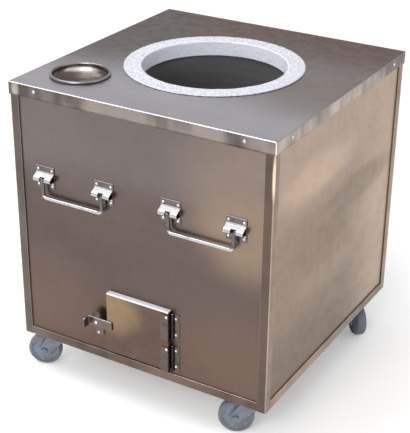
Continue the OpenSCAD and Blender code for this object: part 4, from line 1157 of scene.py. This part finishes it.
class TANDOOR_OT_handles(bpy.types.Operator):
    """Makes the drop handles: bent rods, pressed saddles on their plates, and rivets"""

    bl_idname = "tandoor.handles"
    bl_label = "Handles"

    def execute(self, context):
        paint, size = colours(), sizes()
        rim = box_mm("handle_brackets")[1][2] / 1000
        grip = box_mm("front_left_bail")[0][2] / 1000
        # Painted light: a highlight along the plates' top edge, shade on the rods' upright legs, and the
        # saddles pale for highlights on their tops
        highlight_rim = ("Z", rim - 0.0018, rim - 0.0010, (0.46, 0.44, 0.45))
        painted_shade_legs = ("Z", grip + 0.0070, grip + 0.0120, (0.135, 0.118, 0.124))
        metal = bright_steel("plate_finish", paint.bracket_steel, 0.3, painted_light_bands=[highlight_rim])
        rod = bright_steel("rod_finish", paint.rod_steel, 0.22, painted_light_bands=[painted_shade_legs])
        bright = bright_steel("saddle_finish", paint.saddle_steel, 0.26, 0.9)
        face, leg = -box_mm("front_panel")[0][1], 73
        plate = prism(rounded([[-23, -25], [23, -25], [23, 25], [-23, 25]], 2.5), 0, 1.2, 0.45)
        saddle = self.saddle(joint_mm("front_left_handle_swing"), face)
        plates, saddles, rivets = [], [], []
        for corner in CORNERS:
            out = -Y if corner.startswith("front") else Y
            axes = (np.cross(Z, out), Z, out)
            pivot = joint_mm(corner + "_handle_swing") * [1, 0, 1] + out * face
            for at in (pivot - X * leg, pivot + X * leg):
                plates.append(placed(plate, at + Z * 2, *axes))
                saddles.append(placed(saddle, at, *axes))
                for x in (-17, 17):
                    for z in (-15, 19):
                        rivets.append(placed(rivet(2.2), at + X * x + Z * z + out * 1.2, *axes))
        node, slot = "handle_brackets", "bracket_steel"
        put("handle_plates", joined(plates), metal, node, slot)
        put("handle_saddles", joined(saddles), bright, node, slot, sheet=1.5, bevel=0.3)
        fasten("handle_rivets_domed", rivets, "handle_rivets")
        for corner in CORNERS:
            pivot = joint_mm(corner + "_handle_swing")
            low, high = box_mm(corner + "_bail")
            end, drop = (high[0] - low[0]) / 2, pivot[2] - low[2] - 4.0
            path = [[-end, 0], [-leg, 0], [-leg, -drop], [leg, -drop], [leg, 0], [end, 0]]
            path = spaced(bent(path, [size["rod_elbow"], 9, 9, size["rod_elbow"]], 9), 1.1)
            line = path[:, :1] * X + path[:, 1:] * Z
            radius = np.full(len(line), 4.0)
            radius[[0, -1]], radius[[1, -2]] = 0.0, 3.3
            line[[0, -1]] = line[[1, -2]]
            line[[1, -2]] += (line[[2, -3]] - line[[1, -2]]) * 0.02
            bail = placed(tube(line, radius, -Y, 24), pivot)
            body = corner + "_handle"
            put(corner + "_bail_bent", bail, rod, corner + "_bail", "rod_steel", body, weld=True)
        return {"FINISHED"}

    def saddle(self, pivot, face):
        """A strap's middle line in (out, up): down a tab on the plate, out over the rod, round it and back.
        It is carried along x; the notch leaves out the middle columns below the rod's top."""
        out, half, notch, r = -pivot[1] - face, 21.5, 6, 5.05
        centre, tab = np.array([out, 0.0]), 1.2 + 0.75
        top, foot = np.array([tab, 10.4]), np.array([tab, -5.6])
        meets = touch(top, centre, r, 1), touch(foot, centre, r, -1)
        first, last = (math.degrees(math.atan2(y, x - out)) for x, y in meets)
        curve = arc_points(centre, r, first, last, 16)
        above = bent([[tab, 14.6], top, curve[0]], 1.6, 5)[:-1]
        below = bent([curve[-1], foot, [tab, -10.8]], 1.6, 5)[1:]
        path = spaced(np.concatenate([above, curve, below]), 0.9)
        half_way = len(path) // 2
        whole = (np.arange(len(path) - 1) < half_way) & ((path[1:, 1] + path[:-1, 1]) / 2 > 5.4)
        points, faces = notched_leaf(path, half, notch, 5, whole)
        return points[:, [2, 1, 0]], faces


class TANDOOR_OT_door(bpy.types.Operator):
    """Makes the ash door: its folded tray, rolled hinges, pins and rivets"""

    bl_idname = "tandoor.door"
    bl_label = "Ash door"

    def execute(self, context):
        paint, size = colours(), sizes()
        low, high = box_mm("door_tray")
        middle, half = (low + high) / 2, (high - low) / 2
        fold, depth = 2.4, high[1] - low[1]

        def dent(u, v):
            """The buckle over the door's face."""
            return size["door_dent"] * buckle(u * 2.2, v * 2.2, 4.0)

        tray = pan(half[0], half[2], fold, fold_profile(0, depth, fold, (4.5, 8.0)), dent)
        tray = placed(tray, np.array([middle[0], high[1], middle[2]]), *FRONT)
        face, top, painted_warm_reflection = low[1] / 1000, high[2] / 1000, tuple(paint.door_warm_reflection)
        # Two patches of painted warm reflection, and a painted highlight on the fold on top
        painted_light_tones = [
            ((-0.056, face, 0.232), 0.080, painted_warm_reflection, 0.9),
            ((-0.015, face, 0.225), 0.05, painted_warm_reflection, 0.3),
            ("Z", top - 0.0030, top - 0.0018, (0.88, 0.89, 0.92)),
        ]
        # The top face turns rough and less metallic, so that the painted highlight there shows pale
        dull = ("Z", top - 0.0012, top - 0.0004)
        door = steel("door_finish", paint.door_steel, 0.26, (0.03, 1, 1), 14.0, 0.85, 0.14, painted_light_tones, 0.0, dull)
        put("door_tray_folded", tray, door, "door_tray", "door_steel", "door", sheet=1.2, offset=-1.0)
        liner = steel("liner_finish", (0.17, 0.135, 0.11), 0.42, (1, 1, 0.05), 12.0, 0.5, 0.25)
        softened("door_liner", liner, 0.2, "door")
        finish(frame["nodes"]["door_insulation"].data, packed_wool())
        self.hinges(low, size["edge"])
        return {"FINISHED"}

    def hinges(self, tray_low, edge):
        """Each leaf is one strip: flat, then rolled round the pin. The fixed leaf keeps its roll in the upper
        and lower thirds, the door's leaf in the middle third."""
        axis, own = joint_mm("door_hinge"), tuple(colours().hinge_steel)
        barrel = axis[0] / 1000
        # Painted shade on the rolled barrel; past it the leaf keeps its own colour
        painted_light_bands = [
            ("X", barrel - 0.0042, barrel - 0.0034, (0.045, 0.038, 0.036)),
            ("X", barrel + 0.0036, barrel + 0.0044, own),
        ]
        metal = bright_steel("hinge_finish", own, 0.3, painted_light_bands=painted_light_bands)
        r, thick, half = 2.86, 1.2, 30.0
        reach = box_mm("hinge_fixed_leaves")[1][0] - axis[0]
        roll = arc_points((0, 0), r, 90, 385, 26)
        path = spaced(np.concatenate([[[reach, r]], roll]), 0.8)
        fixed = notched_leaf(path, half, 10, 7, (path[1:, 0] > 4.4) & (path[1:, 1] > 2.5))
        face = tray_low[1] - axis[1] - thick / 2
        lap = box_mm("hinge_door_leaves")[0][0] - axis[0]
        roll = arc_points((0, 0), r, 180, -110, 26)
        path = spaced(np.concatenate([bent([[lap, face], [-r, face], [-r, 0]], 1.7, 6)[:-1], roll]), 0.8)
        row = np.arange(len(path) - 1)
        flat = (path[1:, 1] < -3.8) & (row < len(row) // 2 + 20)
        moving = notched_leaf(path, half, 9.7, 7, flat, True)
        turn = np.radians(np.linspace(90, 0, 6))
        cap = np.stack([2.2 * np.cos(turn), half + 0.1 + 0.6 * np.sin(turn)], -1)
        pin = lathe(np.concatenate([cap, cap[::-1] * [1, -1]]), 20, closed=False)
        low, high = box_mm("hinge_pins")
        heights = (low[2] + half, high[2] - half)
        fixed, moving, pins = (
            joined([placed(form, axis * [1, 1, 0] + Z * z) for z in heights]) for form in (fixed, moving, pin)
        )
        look = {"sheet": thick, "bevel": edge * 0.7}
        put("hinge_leaves_fixed", fixed, metal, "hinge_fixed_leaves", "bracket_steel", **look)
        put("hinge_leaves_door", moving, metal, "hinge_door_leaves", "bracket_steel", "door", **look)
        fasten("hinge_pins_peened", [pins], "hinge_pins")
        panel = box_mm("front_panel")[0][1]
        spots = [(axis[0] + 6.8, panel - thick, z + away) for z in heights for away in (-19, 19)]
        fasten("hinge_rivets_domed", on_front(rivet(2.2, 3.1, 1.6), spots), "hinge_rivets")
        spots = [(axis[0] - 7.0, tray_low[1] - thick, z + 25.5) for z in heights]
        fasten("door_rivets_domed", on_front(rivet(2.4), spots), "door_rivets", "door")


class TANDOOR_OT_latch(bpy.types.Operator):
    """Makes the door's latch: a bar with a turned-out finger tab on a bent strap"""

    bl_idname = "tandoor.latch"
    bl_label = "Latch"

    def execute(self, context):
        pivot, slot, paint = joint_mm("latch_turn"), "bracket_steel", colours()
        low, high = box_mm("latch_bar")
        rim = high[2] / 1000
        # Painted highlight along the bar's top edge
        highlight_rim = ("Z", rim - 0.0018, rim - 0.0008, (0.60, 0.58, 0.60))
        metal = bright_steel("latch_finish", paint.bracket_steel, 0.3, 0.75, [highlight_rim])
        thick, half = 3.0, (high[2] - low[2]) / 2
        level, tab = high[1] - thick / 2, low[0] + thick / 2
        path = spaced(bent([[high[0], level], [tab, level], [tab, low[1]]], 3.2, 7), 0.9)
        bar = self.band(path, pivot[2], half, 4.0, 4.0)
        put("latch_bar_bent", bar, metal, "latch_bar", slot, "latch", sheet=thick, bevel=0.5)
        low, high = box_mm("latch_bracket")
        thick, half = 1.5, (high[0] - low[0]) / 2
        shelf, back, front = pivot[2] - 15 - thick / 2, high[1] - thick / 2, low[1] + thick / 2
        path = spaced(bent([[back, low[2]], [back, shelf], [front, shelf], [front, high[2]]], 2.6, 6), 0.9)
        points, faces = self.band(path, (low[0] + high[0]) / 2, half, 3.5, 7.0)
        metal = bright_steel("strap_finish", shade(paint.hinge_steel, 1.15), 0.3, 0.75)
        strap = (points[:, [2, 0, 1]], faces)
        put("latch_strap_bent", strap, metal, "latch_bracket", slot, sheet=thick, bevel=0.3)
        face = box_mm("latch_rivets")[1][1] - 1.0 - thick
        spots = [(pivot[0] - 5, face, pivot[2] - 21 - k * 13.5) for k in (0, 1)]
        fasten("latch_rivets_domed", on_front(rivet(2.5), spots), "latch_rivets")
        low, high = box_mm("latch_pivot")
        turn = np.radians(np.linspace(0, 90, 7))
        head = np.stack([4.0 * np.sin(turn), 0.5 + 1.5 * np.cos(turn)], -1)
        shank = high[1] - low[1] - 2.0
        stud = lathe(with_shank(head, 2.5, shank), 28, closed=False)
        fasten("latch_pivot_domed", on_front(stud, [(pivot[0], low[1] + 2.0, pivot[2])]), "latch_pivot")
        return {"FINISHED"}

    def band(self, path, middle, half, first, last):
        """A leaf along the path, half wide to each side of the middle. At its two ends the edges draw in by a
        quarter circle, of the radius first and last."""
        length = np.concatenate([[0], np.cumsum(np.linalg.norm(np.diff(path, axis=0), axis=1))])
        width = half
        for radius, run in ((first, length), (last, length[-1] - length)):
            near = np.clip(radius - run, 0, radius)
            width = width - (radius - np.sqrt(radius**2 - near**2))
        return leaf(path, np.linspace(0, 1, 7), middle - width, middle + width)


class TANDOOR_OT_castors(bpy.types.Operator):
    """Makes the four swivel castors: plates, races, forks, wheels, axles and bolts"""

    bl_idname = "tandoor.castors"
    bl_label = "Castors"

    def execute(self, context):
        paint = colours()
        self.zinc = steel("zinc_finish", paint.castor_zinc, 0.36, (1, 1, 0.3), 30.0, 0.7, 0.2)
        self.tyre = moulded("tyre_finish", paint.castor_tyre, 0.6, 0.4)
        self.hub = moulded("hub_finish", paint.castor_hub, 0.45, 0.3)
        self.mounts()
        for corner in CORNERS:
            stem, hub = joint_mm(corner + "_swivel") * [1, 1, 0], joint_mm(corner + "_roll")
            along = hub * [1, 1, 0] - stem
            trail = float(np.linalg.norm(along))
            along /= trail
            self.fork(corner, stem, along, trail, hub[2])
            self.wheel(corner, hub, along)
        return {"FINISHED"}

    def mounts(self):
        """The plates under the cabinet, the upper races, the bolts and the kingpins' nuts."""
        low, high = box_mm("castor_plates")
        base = high[2] - 2.5
        plate = prism(rounded([[-36, -30], [36, -30], [36, 30], [-36, 30]], 6), base, high[2], 0.4)
        profile = [[5.1, low[2]], [19.0, low[2]], [20.0, base], [5.1, base]]
        race = lathe(rounded(profile, [0.3, 1.6, 0.6, 0.3]), 64)
        head, nut = hex_head(5.0, 3.6, 0.8, 1.6), hex_head(7.4, 3.2)
        pin_low = box_mm("castor_kingpins")[0][2]
        plates, bolts, nuts = [], [], []
        for corner in CORNERS:
            stem = joint_mm(corner + "_swivel") * [1, 1, 0]
            plates += [placed(plate, stem), placed(race, stem)]
            for x in (-27, 27):
                for y in (-21, 21):
                    bolts.append(placed(head, stem + [x, y, base], X, -Y, -Z))
            nuts.append(placed(nut, stem + Z * (pin_low + 3.4), X, -Y, -Z))
        slot = "castor_zinc"
        put("castor_plates_pressed", joined(plates), self.zinc, "castor_plates", slot)
        put("castor_bolts_hexagon", joined(bolts), self.zinc, "castor_bolts", slot, weld=True)
        put("castor_kingpin_nuts", joined(nuts), self.zinc, "castor_kingpins", slot, weld=True)

    def fork(self, corner, stem, along, trail, axle):
        """A strip bent into an upside-down U across the wheel. Its front and back edges follow the fork's
        side view: lines from the crown that touch the round end at the axle."""
        node, body, slot = corner + "_fork", corner + "_castor", "castor_zinc"
        lateral = np.cross(Z, along)
        side, crown, end, foot = 15.25, 80.25, 14.0, axle - 13.7
        hub = np.array([trail, axle])
        path = spaced(bent([[-side, foot], [-side, crown], [side, crown], [side, foot]], 4.0, 7), 1.5)

        def edge(start, hand, last):
            """Places along the fork of the edge that runs down from start, over the path's heights."""
            meet = touch(np.array(start), hub, end, hand) - hub
            first = math.degrees(math.atan2(meet[1], meet[0])) % 360
            line = np.concatenate([[[start[0], 90], start], arc_points(hub, end, first, last, 14)])[::-1]
            return np.interp(path[:, 1], line[:, 1], line[:, 0])

        front, back = edge([-17.0, 73.0], -1, 270), edge([21.6, 81.5], 1, -90)
        points, faces = leaf(path, np.linspace(0, 1, 13), front, back)
        fork = placed((points[:, [2, 0, 1]], faces), stem, along, lateral, Z)
        put(corner + "_fork_pressed", fork, self.zinc, node, slot, body, sheet=2.5, bevel=0.4)
        top = box_mm(node)[1][2]
        profile = [[5.1, crown + 1.3], [21.5, crown + 1.3], [21.5, 84.0], [19.0, top], [5.1, top]]
        race = placed(lathe(rounded(profile, [0.3, 0.5, 1.5, 1.0, 0.3]), 64), stem)
        put(corner + "_race_turned", race, self.zinc, node, slot, body)
        hub_at = stem + along * trail + Z * axle
        head = placed(hex_head(6.4, 3.4, 0.8), hub_at - lateral * 16.5, along, Z, -lateral)
        nut = placed(hex_head(6.4, 3.2, 0.8, 1.0), hub_at + lateral * 16.5, along, Z, lateral)
        shaft = lathe(np.array([[0, -16.6], [4, -16.6], [4, 16.6], [0, 16.6]]), 24, closed=False)
        bolt = joined([head, nut, placed(shaft, hub_at, along, Z, lateral)])
        put(corner + "_axle_bolt", bolt, self.zinc, corner + "_axle", "fastener_steel", body, weld=True)

    def wheel(self, corner, hub, along):
        """The tyre is a turned profile with a crowned tread; the hub's faces rise into five ribs."""
        axes = (along, Z, np.cross(Z, along))
        half = [[29.7, -12], [33.6, -12], [37.2, -8.6], [38, -3]]
        bends = [0.6, 2.0, 2.4, 3.0]
        outline = rounded([*half, *([r, -z] for r, z in half[::-1])], [*bends, *bends[::-1]], 6)

        def groove(angle, r, z):
            """A fine groove where the tread ends."""
            return r - 0.35 * (np.abs(r - 34.6) < 0.5), z

        tyre, body = placed(lathe(outline, 96, shift=groove), hub, *axes), corner + "_wheel"
        put(corner + "_tyre_moulded", tyre, self.tyre, corner + "_tyre", "tyre_rubber", body)
        ring = [4.3, 8.0, 12.0, 12.9, 14.0, 17.0, 20.0, 23.0, 25.4, 26.4, 27.2, 29.4]
        tall = [13.5, 13.5, 12.6, 9.0, 0, 0, 0, 0, 0, 9.2, 10.0, 10.0]
        profile = np.array([*zip(ring, tall), *((r, -h) for r, h in zip(ring[::-1], tall[::-1]))])
        sign = np.repeat([1.0, -1.0], len(ring))[:, None]

        def ribs(angle, radius, height):
            """Where the profile has no height of its own it gets the web's, which rises into each rib."""
            rib = np.clip((np.cos(5 * angle) - 0.55) / 0.3, 0, 1)
            web = 7.2 + 1.6 * rib * rib * (3 - 2 * rib)
            return radius, np.where(np.abs(height) < 0.1, sign * web, height)

        spokes = placed(lathe(profile, 160, shift=ribs), hub, *axes)
        put(corner + "_hub_ribbed", spokes, self.hub, corner + "_hub", "hub_plastic", body)


CLASSES = (
    TandoorSizes,
    TandoorColours,
    TANDOOR_OT_stage,
    TANDOOR_OT_sheets,
    TANDOOR_OT_frame,
    TANDOOR_OT_mouth,
    TANDOOR_OT_bowl,
    TANDOOR_OT_handles,
    TANDOOR_OT_door,
    TANDOOR_OT_latch,
    TANDOOR_OT_castors,
)
OPERATORS = [c for c in CLASSES if issubclass(c, bpy.types.Operator)]


class TANDOOR_PT_sidebar(bpy.types.Panel):
    """Lists the sizes, the colours and the pieces"""

    bl_label = "Tandoor"
    bl_idname = "TANDOOR_PT_sidebar"
    bl_space_type = "VIEW_3D"
    bl_region_type = "UI"
    bl_category = "Tandoor"

    def draw(self, context):
        for group in (context.scene.tandoor_sizes, context.scene.tandoor_colours):
            column = self.layout.column(align=True)
            for key in type(group).__annotations__:
                column.prop(group, key)
        for operator in OPERATORS:
            self.layout.operator(operator.bl_idname)


def register():
    for cls in (*CLASSES, TANDOOR_PT_sidebar):
        bpy.utils.register_class(cls)
    bpy.types.Scene.tandoor_sizes = bpy.props.PointerProperty(type=TandoorSizes)
    bpy.types.Scene.tandoor_colours = bpy.props.PointerProperty(type=TandoorColours)


def unregister():
    del bpy.types.Scene.tandoor_sizes
    del bpy.types.Scene.tandoor_colours
    for cls in reversed((*CLASSES, TANDOOR_PT_sidebar)):
        bpy.utils.unregister_class(cls)


def main():
    """Makes every piece in order."""
    register()
    for operator in OPERATORS:
        family, action = operator.bl_idname.split(".")
        getattr(getattr(bpy.ops, family), action)()


if __name__ == "__main__":
    main()
